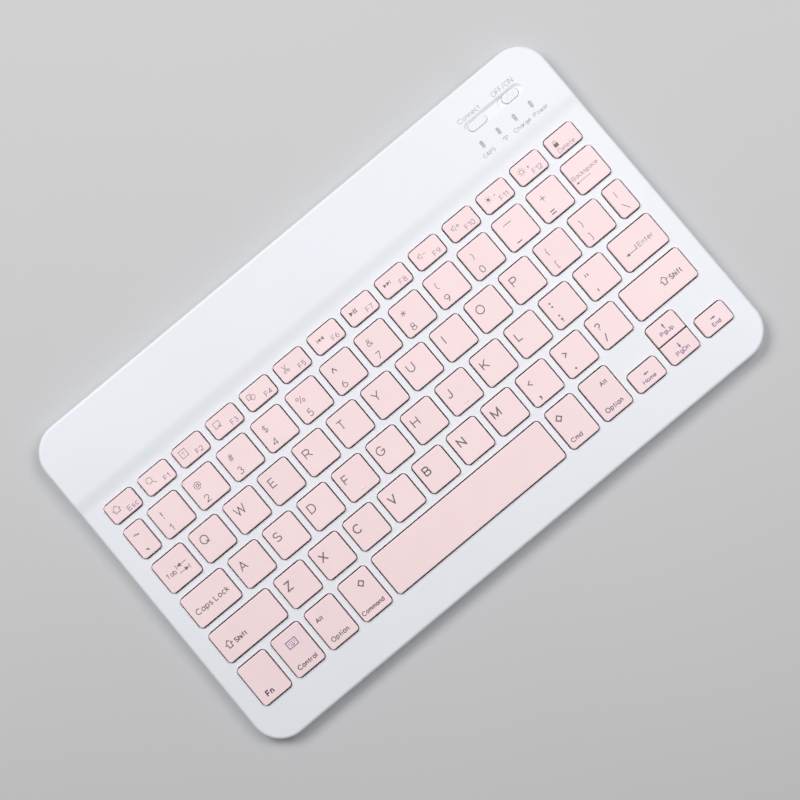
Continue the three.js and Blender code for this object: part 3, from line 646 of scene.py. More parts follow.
SPEAKER = [outline((-0.55, -0.15), (-0.35, -0.15), (-0.1, -0.38), (-0.1, 0.38), (-0.35, 0.15), (-0.55, 0.15))]
ICONS = {
    "home": [upright_outline(0.5, -0.02, -0.43, 0.62, 0.39)],
    "search": [outline(*arc(-0.1, 0.14, 0.4)), line((0.18, -0.14), (0.6, -0.58))],
    "page": [
        outline(*box_points(-0.46, -0.5, 0.46, 0.5)),
        line((-0.2, 0.12), (0.2, 0.12)),
        line((0, -0.1), (0, -0.2)),
    ],
    "copy": [
        outline((-0.42, -0.3), (0.1, -0.3), (0.1, -0.1), (0.42, -0.1), (0.42, 0.48), (-0.42, 0.48)),
        *shifted(arrow(0.45, 0.25, -45), 0.3, -0.3),
    ],
    "paste": [outline(*box_points(-0.5, -0.15, 0.05, 0.45)), outline(*arc(0.15, -0.1, 0.34))],
    "cut": [
        *[outline(*arc(side * 0.25, -0.36, 0.15, steps=10)) for side in (-1, 1)],
        *[line((side * 0.17, -0.23), (side * -0.28, 0.5)) for side in (-1, 1)],
    ],
    "previous": [
        fill(*box_points(-0.56, -0.24, -0.48, 0.24)),
        fill((-0.46, 0), (-0.02, -0.24), (-0.02, 0.24)),
        fill((0.02, 0), (0.46, -0.24), (0.46, 0.24)),
    ],
    "play": [
        fill((-0.48, -0.3), (0.05, 0), (-0.48, 0.3)),
        *[fill(*box_points(x, -0.3, x + 0.14, 0.3)) for x in (0.13, 0.39)],
    ],
    "quieter": SPEAKER + [line((0.12, 0), (0.55, 0))],
    "louder": SPEAKER + [line((0.12, 0), (0.58, 0)), line((0.35, -0.23), (0.35, 0.23))],
    "dimmer": [dot(0, 0, 0.2), *rays(0.3, 0.42), line((0.85, 0), (1.12, 0))],
    "brighter": [
        outline(*arc(0, 0, 0.26, steps=12)),
        *rays(0.38, 0.55),
        line((0.88, 0), (1.2, 0)),
        line((1.04, -0.16), (1.04, 0.16)),
    ],
    "lock": [
        fill(*box_points(-0.34, -0.48, 0.34, 0.05)),
        line((-0.2, 0.03), *arc(0, 0.2, 0.2, 180, 0, 8), (0.2, 0.03)),
    ],
    "shift": [upright_outline(0.52, 0.02, -0.45, 0.52, 0.26)],
    "tab": [
        *shifted(arrow(1.0, 0.4, 180), 0.06, 0.3),
        line((-0.5, 0.08), (-0.5, 0.52)),
        *shifted(arrow(1.0, 0.4, 0), -0.06, -0.3),
        line((0.5, -0.52), (0.5, -0.08)),
    ],
    "enter": [line((0.5, 0.36), (0.5, 0), (-0.26, 0)), fill((-0.22, -0.12), (-0.52, 0), (-0.22, 0.12))],
    "keyboard": [
        outline(*box_points(-0.75, -0.5, 0.75, 0.5)),
        *[
            fill(*box_points(x - 0.07, y - 0.06, x + 0.07, y + 0.06))
            for y in (0.24, 0.02)
            for x in (-0.45, -0.15, 0.15, 0.45)
        ],
        fill(*box_points(-0.3, -0.3, 0.3, -0.17)),
    ],
    "diamond": [outline((0, -0.5), (0.5, 0), (0, 0.5), (-0.5, 0))],
    **{name: arrow(1, 0.52, turn) for name, turn in (("up", 90), ("down", -90), ("left", 180), ("right", 0))},
    "backspace": arrow(1, 0.16, 180),
    "signal": [*[line(*arc(0, -0.45, radius, 45, 135, 8)) for radius in (0.45, 0.85)], dot(0, -0.4, 0.13)],
}
ICONS["next"] = [(kind, [(-x, y) for x, y in points[::-1]]) for kind, points in ICONS["previous"]]

LETTER_NUDGES = {"i": 0.6, "c": -0.4, "g": -0.4, "m": -0.2, "s": 0.25}  # letters off their row's place
BOLD_GLYPHS = "!^~-=<>,.?/\"'"

# A mark on a cap or on the case. A positive x or y is from the left or front side, a negative one from the
# right or rear side. A text stands on its baseline, and a glyph or an icon is centred. height is a text's
# cap height or an icon's size, and a text with no width keeps its natural one.
Mark = namedtuple("Mark", "kind value x y height width align ink stroke")


def text(value, x, y, height, width=None, align="LEFT", ink="dark", stroke=WORD_STROKE):
    return Mark("text", value, x, y, height, width, align, ink, stroke)


def glyph(value, x, y):
    if value.isdigit():
        stroke = DIGIT_STROKE
    else:
        stroke = BOLD_STROKE if value in BOLD_GLYPHS else THIN_STROKE
    return Mark("glyph", value, x, y, GLYPH_HEIGHT, None, "CENTER", "dark", stroke)


def icon(value, x, y, size, ink="dark", stroke=WORD_STROKE):
    return Mark("icon", value, x, y, size, None, "CENTER", ink, stroke)


def letter(value, left, stroke):
    return [text(value.upper(), left + LETTER_NUDGES.get(value, 0), -6.95, LETTER_HEIGHT, stroke=stroke)]


def pair(upper, lower, x, upper_y=-4.7, lower_y=2.95, lower_x=None):
    return [glyph(upper, x, upper_y), glyph(lower, lower_x or x, lower_y)]


def function_key(label, symbol, x, right, stroke):
    return [
        icon(symbol, x, -3.65, 3.05, stroke=FAINT_STROKE),
        text(label, right, 1.05, 2.1, align="RIGHT", ink="violet", stroke=stroke),
    ]


def cursor_key(direction, label, arrow_y, baseline, width, length=2.3):
    return [
        icon(direction, 6.55, arrow_y, length, stroke=BOLD_STROKE),
        text(label, 6.5, baseline, 1.75, width, "CENTER", "violet", DIGIT_STROKE),
    ]


# Each numbered key's icon with its place from the left, and its label's place from the right and line width.
FUNCTION_KEYS = (
    ("search", 3.9, -2.05, THIN_STROKE),
    ("page", 3.55, -2.3, THIN_STROKE),
    ("copy", 3.55, -1.9, THIN_STROKE),
    ("paste", 3.55, -1.7, THIN_STROKE),
    ("cut", 3.55, -1.9, THIN_STROKE),
    ("previous", 4.3, -2.05, FAINT_STROKE),
    ("play", 3.55, -1.9, FAINT_STROKE),
    ("next", 3.55, -2.05, FAINT_STROKE),
    ("quieter", 4.15, -2.05, FAINT_STROKE),
    ("louder", 4.05, -1.9, FAINT_STROKE),
    ("dimmer", 3.55, -2.05, FAINT_STROKE),
    ("brighter", 3.35, -2.05, FAINT_STROKE),
)
FUNCTION_ROW = {
    "esc": [
        icon("home", 3.8, -3.7, 2.9, stroke=THIN_STROKE),
        text("Esc", -1.05, 1.05, 2.05, 4.8, "RIGHT", "violet", THIN_STROKE),
    ],
    **{f"f{i}": function_key(f"F{i}", *row) for i, row in enumerate(FUNCTION_KEYS, 1)},
    "delete": [
        icon("lock", 3.35, -3.6, 2.8, stroke=FAINT_STROKE),
        text("Delete", 6.2, 0.75, 1.9, 7.7, "CENTER", "violet", PALE_STROKE),
    ],
}
NUMBER_ROW = {
    "grave": pair("~", "`", 3.6, -4.2, 2.5),
    "1": pair("!", "1", 4.0, -4.9),
    "2": pair("@", "2", 4.55),
    "3": pair("#", "3", 3.95),
    "4": pair("$", "4", 3.95),
    "5": pair("%", "5", 4.3),
    "6": pair("^", "6", 4.15, -4.2),
    "7": pair("&", "7", 4.15),
    "8": pair("*", "8", 4.15, -4.5),
    "9": pair("(", "9", 3.5, lower_x=4.0),
    "0": pair(")", "0", 4.15),
    "minus": pair("_", "-", 5.2, -3.5, 1.9, 4.65),
    "equals": pair("+", "=", 4.65, -4.7, 2.4),
}
PUNCTUATION = {
    "bracket_open": pair("{", "[", 3.7, -4.6, 3.1, 3.9),
    "bracket_close": pair("}", "]", 3.5, -4.6, 3.1, 3.3),
    "backslash": pair("|", "\\", 3.45, -4.45, 3.5, 3.9),
    "semicolon": pair(":", ";", 3.4, -4.0, 3.5),
    "quote": pair('"', "'", 4.0, -3.85, 2.75),
    "comma": pair("<", ",", 3.7, -4.65, 2.3),
    "full_stop": pair(">", ".", 4.0, -4.65, 2.4),
    "slash": pair("?", "/", 3.25, -4.8, 4.1),
}
LEFT_MODIFIERS = {
    "fn": [text("Fn", 3.25, 2.2, 2.5, 3.4, ink="bold", stroke=HEAVY_STROKE)],
    "control": [
        icon("keyboard", 6.55, -5.45, 2.85, "violet"),
        text("Control", 2.15, 2.1, 2.1, 9.0, stroke=BOLD_STROKE),
    ],
    "left_option": [text("Alt", 2.05, -6.1, 1.9, 3.3), text("Option", 2.2, 2.2, 2.1, 8.15)],
    "left_command": [
        icon("diamond", -5.2, -4.75, 2.6, stroke=HEAVY_STROKE),
        text("Command", 0.75, 2.25, 1.95, 10.5),
    ],
}
RIGHT_MODIFIERS = {
    "right_command": [
        icon("diamond", 3.4, -4.8, 2.6, stroke=HEAVY_STROKE),
        text("Cmd", 1.6, 2.2, 1.95, 5.15, stroke=LIGHT_STROKE),
    ],
    "right_option": [
        text("Alt", -6.4, -6.0, 1.9, 3.3, stroke=LIGHT_STROKE),
        text("Option", 2.15, 2.3, 2.1, 8.2),
    ],
}
# Each row of letters with their place from the left and their line width.
LETTER_ROWS = (("qwertyuiop", 2.55, 0.4), ("asdfghjkl", 2.2, 0.44), ("zxcvbnm", 2.2, 0.54))
SINGLE_KEYS = {
    "arrow_left": cursor_key("left", "Home", -3.6, 1.7, 6.1),
    "arrow_up": cursor_key("up", "PgUp", -3.0, 2.35, 6.0, 2.4),
    "arrow_down": cursor_key("down", "PgDn", -3.5, 1.9, 6.0),
    "arrow_right": cursor_key("right", "End", -3.6, 1.7, 3.9),
    "tab": [
        text("Tab", 2.05, 5.3, 2.0, 4.4, stroke=THIN_STROKE),
        icon("tab", -5.1, 5.95, 4.5, stroke=THIN_STROKE),
    ],
    "caps_lock": [text("Caps Lock", 2.15, 4.7, 2.45, 15.7)],
    "left_shift": [
        icon("shift", 4.5, 6.1, 3.1, stroke=BOLD_STROKE),
        text("Shift", 6.9, 4.6, 2.15, 5.7, stroke=BOLD_STROKE),
    ],
    "right_shift": [icon("shift", -11.8, 6.45, 3.1), text("Shift", -9.4, 4.9, 2.2, 5.6)],
    "enter": [
        icon("enter", 5.75, 5.45, 5.2, stroke=THIN_STROKE),
        text("Enter", -10.65, 5.2, 2.0, 7.1, stroke=FAINT_STROKE),
    ],
    "backspace": [
        text("Backspace", 6.75, 6.1, 1.75, 12.0, "CENTER", stroke=PALE_STROKE),
        icon("backspace", 4.4, 4.65, 6.8, stroke=PALE_STROKE),
    ],
    "space": [],
    **{name: letter(name, left, stroke) for row, left, stroke in LETTER_ROWS for name in row},
}

# CAD node to its caps, in the order of top_islands(): {cap's name: marks}.
LEGENDS = {
    "function_row_keys": FUNCTION_ROW,
    "number_row_keys": NUMBER_ROW,
    "punctuation_keys": PUNCTUATION,
    "left_modifier_keys": LEFT_MODIFIERS,
    "right_modifier_keys": RIGHT_MODIFIERS,
    **{f"key_{name}": {name: marks} for name, marks in SINGLE_KEYS.items()},
}
HOMING_KEYS = ("f", "j")
HOMING_BAR = (2.6, 0.45)
HOMING_BAR_Y = 2.2  # from the cap's front
HOMING_BAR_RISE = 0.12


def print_solid(bm, points, faces, ground, material):
    """Adds a printed solid. points are (x, y, is_top); ground(x, y) is the height of the surface under it."""
    verts = []
    for x, y, is_top in points:
        lift = INK_ABOVE if is_top else -INK_BELOW
        verts.append(bm.verts.new((x, y, ground(x, y) + lift)))
    for face in faces:
        bm.faces.new([verts[i] for i in face]).material_index = material


def smooth_runs(points, reach):
    """An open path cut at its sharp corners. The pieces run past each cut by reach, so that they overlap."""
    path = [Vector(p) for p in points]
    runs, run = [], [path[0]]
    for before, p, after in zip(path, path[1:], path[2:]):
        way_in, way_out = (p - before).normalized(), (after - p).normalized()
        if way_in.dot(way_out) < -0.05:
            runs.append([*run, p + way_in * reach])
            run = [p - way_out * reach]
        else:
            run.append(p)
    return [*runs, [*run, path[-1]]]


def offset_line(points, half, closed):
    """Points to the left of a path at a distance of half, with mitred corners."""
    count = len(points)
    result = []
    for i, p in enumerate(points):
        before = points[i - 1] if closed or i else None
        after = points[(i + 1) % count] if closed or i + 1 < count else None
        normals = []
        for a, b in ((before, p), (p, after)):
            if a is not None and b is not None:
                d = (Vector(b) - Vector(a)).normalized()
                normals.append(Vector((-d.y, d.x)))
        middle = sum(normals, Vector((0, 0))).normalized()
        reach = half / max(middle.dot(normals[0]), MITRE_LIMIT)
        result.append(Vector(p) + middle * reach)
    return result


def print_stroke(bm, points, width, closed, ground, material):
    left = offset_line(points, width / 2, closed)
    right = offset_line(points, -width / 2, closed)
    count = len(points)
    solid = [(p.x, p.y, is_top) for is_top in (True, False) for edge in (left, right) for p in edge]
    top_left, top_right, low_left, low_right = (range(k * count, (k + 1) * count) for k in range(4))
    faces = []
    for i in range(count if closed else count - 1):
        j = (i + 1) % count
        faces.append((top_left[i], top_right[i], top_right[j], top_left[j]))
        faces.append((low_left[j], low_right[j], low_right[i], low_left[i]))
        faces.append((top_left[i], top_left[j], low_left[j], low_left[i]))
        faces.append((top_right[j], top_right[i], low_right[i], low_right[j]))
    if not closed:
        faces.append((top_left[0], low_left[0], low_right[0], top_right[0]))
        faces.append((top_left[-1], top_right[-1], low_right[-1], low_left[-1]))
    print_solid(bm, solid, faces, ground, material)


def print_fill(bm, points, ground, material):
    count = len(points)
    solid = [(x, y, is_top) for is_top in (True, False) for x, y in points]
    faces = [list(range(count)), list(range(2 * count - 1, count - 1, -1))]
    for i in range(count):
        j = (i + 1) % count
        faces.append((i, i + count, j + count, j))
    print_solid(bm, solid, faces, ground, material)


def height_over(bm):
    """The height of what bm holds so far, as a function of (x, y)."""
    tree = BVHTree.FromBMesh(bm)
    return lambda x, y: tree.ray_cast(Vector((x, y, CAP_TOP_Z + 1)), Vector((0, 0, -1)))[0].z


def placed_parts(mark, box):
    """A mark's parts in millimetres, on the surface that fills box."""
    x0, y0, x1, y1 = box
    x = mark.x + (x0 if mark.x >= 0 else x1)
    y = mark.y + (y0 if mark.y >= 0 else y1)
    if mark.kind == "icon":
        parts = ICONS[mark.value]
        scale_x = scale_y = mark.height
    else:
        parts = lettering(mark.value)
        xs, ys = zip(*[p for _, points in parts for p in points])
        left, right = min(xs), max(xs)
        scale_y = mark.height - mark.stroke
        scale_x = (mark.width - mark.stroke) / (right - left) if mark.width else scale_y
        half = mark.stroke / 2
        if mark.align == "CENTER":
            x += -(left + right) / 2 * scale_x
        else:
            x += half - left * scale_x if mark.align == "LEFT" else -half - right * scale_x
        y += half if mark.kind == "text" else -(min(ys) + max(ys)) / 2 * scale_y
    return [(kind, [(x + px * scale_x, y + py * scale_y) for px, py in points]) for kind, points in parts]


def print_mark(bm, mark, box, ground, material):
    for kind, points in placed_parts(mark, box):
        if kind == "fill":
            print_fill(bm, points, ground, material)
        elif kind == "outline":
            print_stroke(bm, points, mark.stroke, True, ground, material)
        else:
            for run in smooth_runs(points, mark.stroke / 2):
                print_stroke(bm, run, mark.stroke, False, ground, material)


# ---- Keycaps ---------------------------------------------------------------------------------------


def cap_surface(box):
    """The height of a cap's top at (x, y): a shallow dish."""
    x0, y0, x1, y1 = box
    cx, cy, hx, hy = (x0 + x1) / 2, (y0 + y1) / 2, (x1 - x0) / 2, (y1 - y0) / 2

    def height(x, y):
        u, v = min(abs(x - cx) / hx, 1), min(abs(y - cy) / hy, 1)
        return CAP_TOP_Z - CAP_DISH * (1 - u * u) * (1 - v * v)

    return height


def cap_radii(name):
    """Corner radii from the front right. The up and down keys are nearly square where they meet."""
    if name == "arrow_up":
        return CAP_SQUARE_RADIUS, CAP_RADIUS, CAP_RADIUS, CAP_SQUARE_RADIUS
    if name == "arrow_down":
        return CAP_RADIUS, CAP_SQUARE_RADIUS, CAP_SQUARE_RADIUS, CAP_RADIUS
    return (CAP_RADIUS,) * 4


def build_cap(name, box, marks):
    bm = bmesh.new()
    radii = cap_radii(name)
    surface = cap_surface(box)
    half = min(box[2] - box[0], box[3] - box[1]) / 2
    side_top = CAP_TOP_Z - CAP_BEVEL
    rings = [
        rounded_ring(box, radii, CAP_TOP_Z - CAP_ROOF, CAP_WALL),
        rounded_ring(box, radii, CAP_SKIRT_Z, CAP_WALL),
        rounded_ring(box, radii, CAP_SKIRT_Z, CAP_SKIRT_CHAMFER),
        rounded_ring(box, radii, CAP_SKIRT_Z + CAP_SKIRT_CHAMFER, 0),
        rounded_ring(box, radii, side_top - 0.4, CAP_DRAFT / 2),
    ]
    for inset, drop in quarter_round(CAP_BEVEL, 5):
        rings.append(rounded_ring(box, radii, CAP_TOP_Z - drop, CAP_DRAFT + inset))
    edge = CAP_DRAFT + CAP_BEVEL
    for share in (0.08, 0.2, 0.35, 0.55, 0.8):
        rings.append(rounded_ring(box, radii, surface, edge + share * (half - edge)))
    skin(bm, rings)
    if name in HOMING_KEYS:
        centre = (box[0] + box[2]) / 2
        bar, radius = stadium(centre, box[1] + HOMING_BAR_Y, *HOMING_BAR)
        slab(bm, bar, radius, CAP_TOP_Z - 0.3, CAP_TOP_Z + HOMING_BAR_RISE, HOMING_BAR_RISE, segments=4)
    ground = height_over(bm)
    for mark in marks:
        print_mark(bm, mark, box, ground, INKS[mark.ink])
    return new_object(f"cap_{name}", bm)


cap_boxes = {}
for node, caps in LEGENDS.items():
    boxes = top_islands(node)
    for (cap_name, marks), cap_box in zip(caps.items(), boxes, strict=True):
        cap_boxes[cap_name] = cap_box
        cap = build_cap(cap_name, cap_box, marks)
        finish_piece(cap, node, [KEYCAP, INK, VIOLET_INK, BOLD_INK], replaces=[node])

# ---- Covers ----------------------------------------------------------------------------------------


def surface_z(y):
    """Height of the case's top: the key deck, an S-shaped ramp and the rear strip."""
    t = min(max((y - RAMP_FRONT_Y) / (RAMP_REAR_Y - RAMP_FRONT_Y), 0), 1)
    return DECK_Z + (STRIP_Z - DECK_Z) * t * t * (3 - 2 * t)


def case_ring(inset, z, corner_steps=18, ramp_steps=20):
    """Points round the case, anticlockwise from the front right corner. z is a height or a function of y."""
    cx, cy = WIDTH / 2 - CORNER_RADIUS, DEPTH / 2 - CORNER_RADIUS
    radius = CORNER_RADIUS - inset

    def corner(y, start):
        angles = [math.radians(start + 90 * i / corner_steps) for i in range(corner_steps + 1)]
        return [(cx + radius * math.cos(a), y + radius * math.sin(a)) for a in angles]

    ramp_length = RAMP_REAR_Y - RAMP_FRONT_Y
    ramp = [(cx + radius, RAMP_FRONT_Y + ramp_length * i / ramp_steps) for i in range(ramp_steps + 1)]
    right = corner(-cy, -90) + ramp + corner(cy, 0)
    ring = right + [(-x, y) for x, y in right[::-1]]
    return [(x, y, z(y) if callable(z) else z) for x, y in ring]


def case_shell(name, rings):
    """A solid over case rings. Each end is closed by strips that run from side to side."""
    bm = bmesh.new()
    loops = skin(bm, rings, cap_ends=False)
    count = len(loops[0])
    for ends, up in ((loops[0], False), (loops[-1], True)):
        for i in range(count // 2 - 1):
            mirror = count - 1 - i
            quad = [ends[i], ends[i + 1], ends[mirror - 1], ends[mirror]]
            bm.faces.new(quad if up else quad[::-1])
    return new_object(name, bm)


def openings_cutter():
    """One cutter for all the key openings, flared at the deck so that each gets a rounded rim."""
    bm = bmesh.new()
    boxes = {name: box for name, box in cap_boxes.items() if name not in ("arrow_up", "arrow_down")}
    up, down = cap_boxes["arrow_up"], cap_boxes["arrow_down"]
    boxes["up_and_down"] = (down[0], down[1], up[2], up[3])
    for box in boxes.values():
        radius = CAP_RADIUS + CAP_GAP
        rings = [rounded_ring(box, radius, DECK_Z - SKIN - 1, -CAP_GAP)]
        for inset, drop in list(quarter_round(RIM_RADIUS, 5))[:-1]:
            rings.append(rounded_ring(box, radius, DECK_Z - drop, -CAP_GAP - inset))
        rings.append(rounded_ring(box, radius, DECK_Z + 1, -CAP_GAP - inset))
        skin(bm, rings)
    return new_object("openings", bm)


def cut_slot(bm, x, y, size, gap, bottom, surface):
    """Adds the cutter of a slot that leaves a gap round a piece of the given size, and has a rounded rim."""
    box, radius = stadium(x, y, size[0] + 2 * gap, size[1] + 2 * gap)
    rings = [rounded_ring(box, radius, bottom, 0)]
    for inset, drop in list(quarter_round(SLOT_RIM, 4))[:-1]:
        rings.append(rounded_ring(box, radius, surface - drop, -inset))
    rings.append(rounded_ring(box, radius, surface + 2, -inset))
    skin(bm, rings)


button_low, button_high = box_mm("connect_button")
slider_low, slider_high = box_mm("power_slider")
CONTROL_Y = (slider_low.y + slider_high.y) / 2
BUTTON_X = (button_low.x + button_high.x) / 2
BUTTON_SIZE = (8.4, 3.8)
SLIDER_X = (slider_low.x + slider_high.x) / 2
SLIDER_SIZE = (slider_high.x - slider_low.x, slider_high.y - slider_low.y)
SLIDER_TRAVEL = next(j["range_m"][1] for j in frame["joints"] if j["name"] == "power_slider_slide") / MM
LAMP_BOXES = top_islands("light_guide")
RECESS_SIZE = (28.4, 6.2)
RECESS_TILT = math.tan(math.radians(9))
RECESS_DEPTH = 0.45  # at its middle
RECESS_WALL = 1.9  # width of its sloping side
RECESS_OVERRUN = 0.12  # share of that width by which the wall runs past the recess
BUTTON_GAP = 0.085
LAMP_GAP = 0.04
KNOB_GAP = 0.14
LAMP_RISE = 0.12
SLOT_RIM = 0.08
SLOT_BOTTOM = 3  # below the strip's inner face
KNOB_SLOT_DEPTH = 0.95
NECK_SIZE = (1.8, 1.4)
NECK_SLOT_RADIUS = 0.3
NECK_SLOT_TOP = STRIP_Z - 0.7  # inside the knob's slot


def recess_cutter():
    """The tilted hollow round the two controls: deep at the rear and running out at the front."""
    bm = bmesh.new()
    box, radius = stadium((BUTTON_X + SLIDER_X) / 2, CONTROL_Y, *RECESS_SIZE)

    def floor(share):
        return lambda x, y: STRIP_Z - share * (RECESS_DEPTH + (y - CONTROL_Y) * RECESS_TILT)

    # t goes from just past the wall's foot, at 1, up to the overrun, below 0.
    rings = []
    steps = 10
    for i in range(steps + 1):
        t = 1.04 - (1.04 + RECESS_OVERRUN) * i / steps
        eased = t * t * (3 - 2 * t) if 0 < t < 1 else float(t > 0)
        share = eased if t > 0.08 else t * 0.28 - 0.005
        rings.append(rounded_ring(box, radius, floor(share), max(t, -RECESS_OVERRUN) * RECESS_WALL, 16))
    rings.append(rounded_ring(box, radius, STRIP_Z + 2, -RECESS_OVERRUN * RECESS_WALL, 16))
    skin(bm, rings)
    return new_object("recess", bm)


def controls_cutter():
    bm = bmesh.new()
    floor = STRIP_Z - RECESS_DEPTH
    cut_slot(bm, BUTTON_X, CONTROL_Y, BUTTON_SIZE, BUTTON_GAP, SLOT_BOTTOM, floor)
    swept = (SLIDER_SIZE[0] + SLIDER_TRAVEL, SLIDER_SIZE[1])
    cut_slot(bm, SLIDER_X - SLIDER_TRAVEL / 2, CONTROL_Y, swept, KNOB_GAP, STRIP_Z - KNOB_SLOT_DEPTH, floor)
    for x0, y0, x1, y1 in LAMP_BOXES:
        cut_slot(bm, (x0 + x1) / 2, (y0 + y1) / 2, (x1 - x0, y1 - y0), LAMP_GAP, SLOT_BOTTOM, STRIP_Z)
    return new_object("control_slots", bm)


def neck_cutter():
    """The slot in the floor under the knob, which the slider's neck runs in."""
    bm = bmesh.new()
    half_x, half_y = NECK_SIZE[0] / 2 + KNOB_GAP, NECK_SIZE[1] / 2 + KNOB_GAP
    box = (SLIDER_X - SLIDER_TRAVEL - half_x, CONTROL_Y - half_y, SLIDER_X + half_x, CONTROL_Y + half_y)
    skin(bm, [rounded_ring(box, NECK_SLOT_RADIUS, z) for z in (SLOT_BOTTOM, NECK_SLOT_TOP)])
    return new_object("neck_slot", bm)


socket_low, socket_high = box_mm("charging_socket")
SOCKET_X = (socket_low.x + socket_high.x) / 2
SOCKET_Z = (socket_low.z + socket_high.z) / 2
SOCKET_RADIUS = 0.7
SOCKET_GAP = 0.25


def upright_rings(box, radius, levels, segments):
    """Rings that face the rear. box is in x and z, and levels holds (y, inset) pairs."""
    rings = []
    for y, inset in levels:
        rings.append([(x, y, z) for x, z, _ in rounded_ring(box, radius, 0, inset, segments)])
    return rings


def socket_cutter():
    """The opening for the charging plug through the rear wall of both covers."""
    bm = bmesh.new()
    gap = SOCKET_GAP
    box = (socket_low.x - gap, socket_low.z - gap, socket_high.x + gap, socket_high.z + gap)
    rear = DEPTH / 2
    levels = ((rear - 4, 0), (rear - 0.35, 0), (rear - 0.1, -0.08), (rear + 1, -0.35))
    skin(bm, upright_rings(box, SOCKET_RADIUS + gap, levels, 6))
    return new_object("socket_opening", bm)


def build_top_cover():
    seam = SEAM_Z + SEAM_GAP / 2
    rings = [
        case_ring(WALL, lambda y: surface_z(y) - SKIN),
        case_ring(WALL, seam),
        case_ring(SEAM_BEVEL, seam),
        case_ring(0, seam + SEAM_BEVEL),
    ]
    for inset, drop in quarter_round(TOP_FILLET, 8):
        rings.append(case_ring(inset, lambda y, drop=drop: surface_z(y) - drop))
    cover = case_shell("top_shell", rings)
    for cutter in (openings_cutter, recess_cutter, controls_cutter, neck_cutter, socket_cutter):
        cut(cover, cutter())
    finish_piece(cover, "case", [CASING], replaces=["top_cover"])


BOTTOM_SWEEP = 3.0  # how far the underside curves in
BOTTOM_SWEEP_HEIGHT = 1.6
CASE_LOW_Z = box_mm("bottom_cover")[0].z
RIM_TOP_Z = box_mm("bottom_cover")[1].z
RIM_INSET = WALL + 0.1
RIM_THICKNESS = 1
FOOT_GAP = 0.2
GROOVE_FLARE = 0.15
FEET = ("front_foot", "rear_foot")


def grooves_cutter():
    """The grooves that hold the feet, flared at the underside."""
    bm = bmesh.new()
    for foot in FEET:
        low, high = box_mm(foot)
        box = (low.x - FOOT_GAP, low.y - FOOT_GAP, high.x + FOOT_GAP, high.y + FOOT_GAP)
        levels = (
            (CASE_LOW_Z - 1, -GROOVE_FLARE),
            (CASE_LOW_Z + 0.02, -GROOVE_FLARE),
            (CASE_LOW_Z + GROOVE_FLARE, 0),
            (high.z + 0.05, 0),
        )
        skin(bm, [rounded_ring(box, end_radius(box), z, inset, 12) for z, inset in levels])
    return new_object("foot_grooves", bm)


def build_bottom_cover():
    seam = SEAM_Z - SEAM_GAP / 2
    rings = [
        case_ring(RIM_INSET + RIM_THICKNESS, LOWER_FLOOR_Z),
        case_ring(RIM_INSET + RIM_THICKNESS, RIM_TOP_Z),
        case_ring(RIM_INSET, RIM_TOP_Z),
        case_ring(RIM_INSET, seam),
        case_ring(SEAM_BEVEL, seam),
        case_ring(0, seam - SEAM_BEVEL),
    ]
    steps = 10
    for i in range(steps + 1):
        a = math.pi / 2 * i / steps
        inset = BOTTOM_SWEEP * (1 - math.cos(a))
        z = CASE_LOW_Z + BOTTOM_SWEEP_HEIGHT * (1 - math.sin(a))
        rings.append(case_ring(inset, z))
    cover = case_shell("bottom_shell", rings[::-1])
    for cutter in (grooves_cutter, socket_cutter):
        cut(cover, cutter())
    finish_piece(cover, "case", [CASING], replaces=["bottom_cover"])


build_top_cover()
build_bottom_cover()

# ---- Feet, controls, lamps, socket and labels ------------------------------------------------------


def build_foot(node):
    low, high = box_mm(node)
    bm = bmesh.new()
    box = (low.x, low.y, high.x, high.y)
    slab(bm, box, end_radius(box), low.z, high.z, 0.1, segments=12, bevel_below=0.35)
    foot = new_object(f"{node}_strip", bm)
    finish_piece(foot, "case", [RUBBER], replaces=[node])


def build_connect_button():
    bm = bmesh.new()
    box, radius = stadium(BUTTON_X, CONTROL_Y, *BUTTON_SIZE)
    slab(bm, box, radius, button_low.z + 0.3, button_high.z, 0.35, segments=12, steps=6)
    flange = (button_low.x, CONTROL_Y - 1.4, button_high.x, CONTROL_Y + 1.4)
    slab(bm, flange, 0.4, button_low.z, button_low.z + 0.28, 0.05, segments=3)
    button = new_object("connect_key", bm)
    finish_piece(button, "connect_button", [CASING], replaces=["connect_button"])


KNOB_THICKNESS = 0.5
RIDGES = 5
RIDGE_PITCH = 0.8
RIDGE_SIZE = (0.34, 2.5)
RIDGE_HEIGHT = 0.12
KEEPER_Z = (4.4, 4.85)  # the plate that holds the slider under the cover


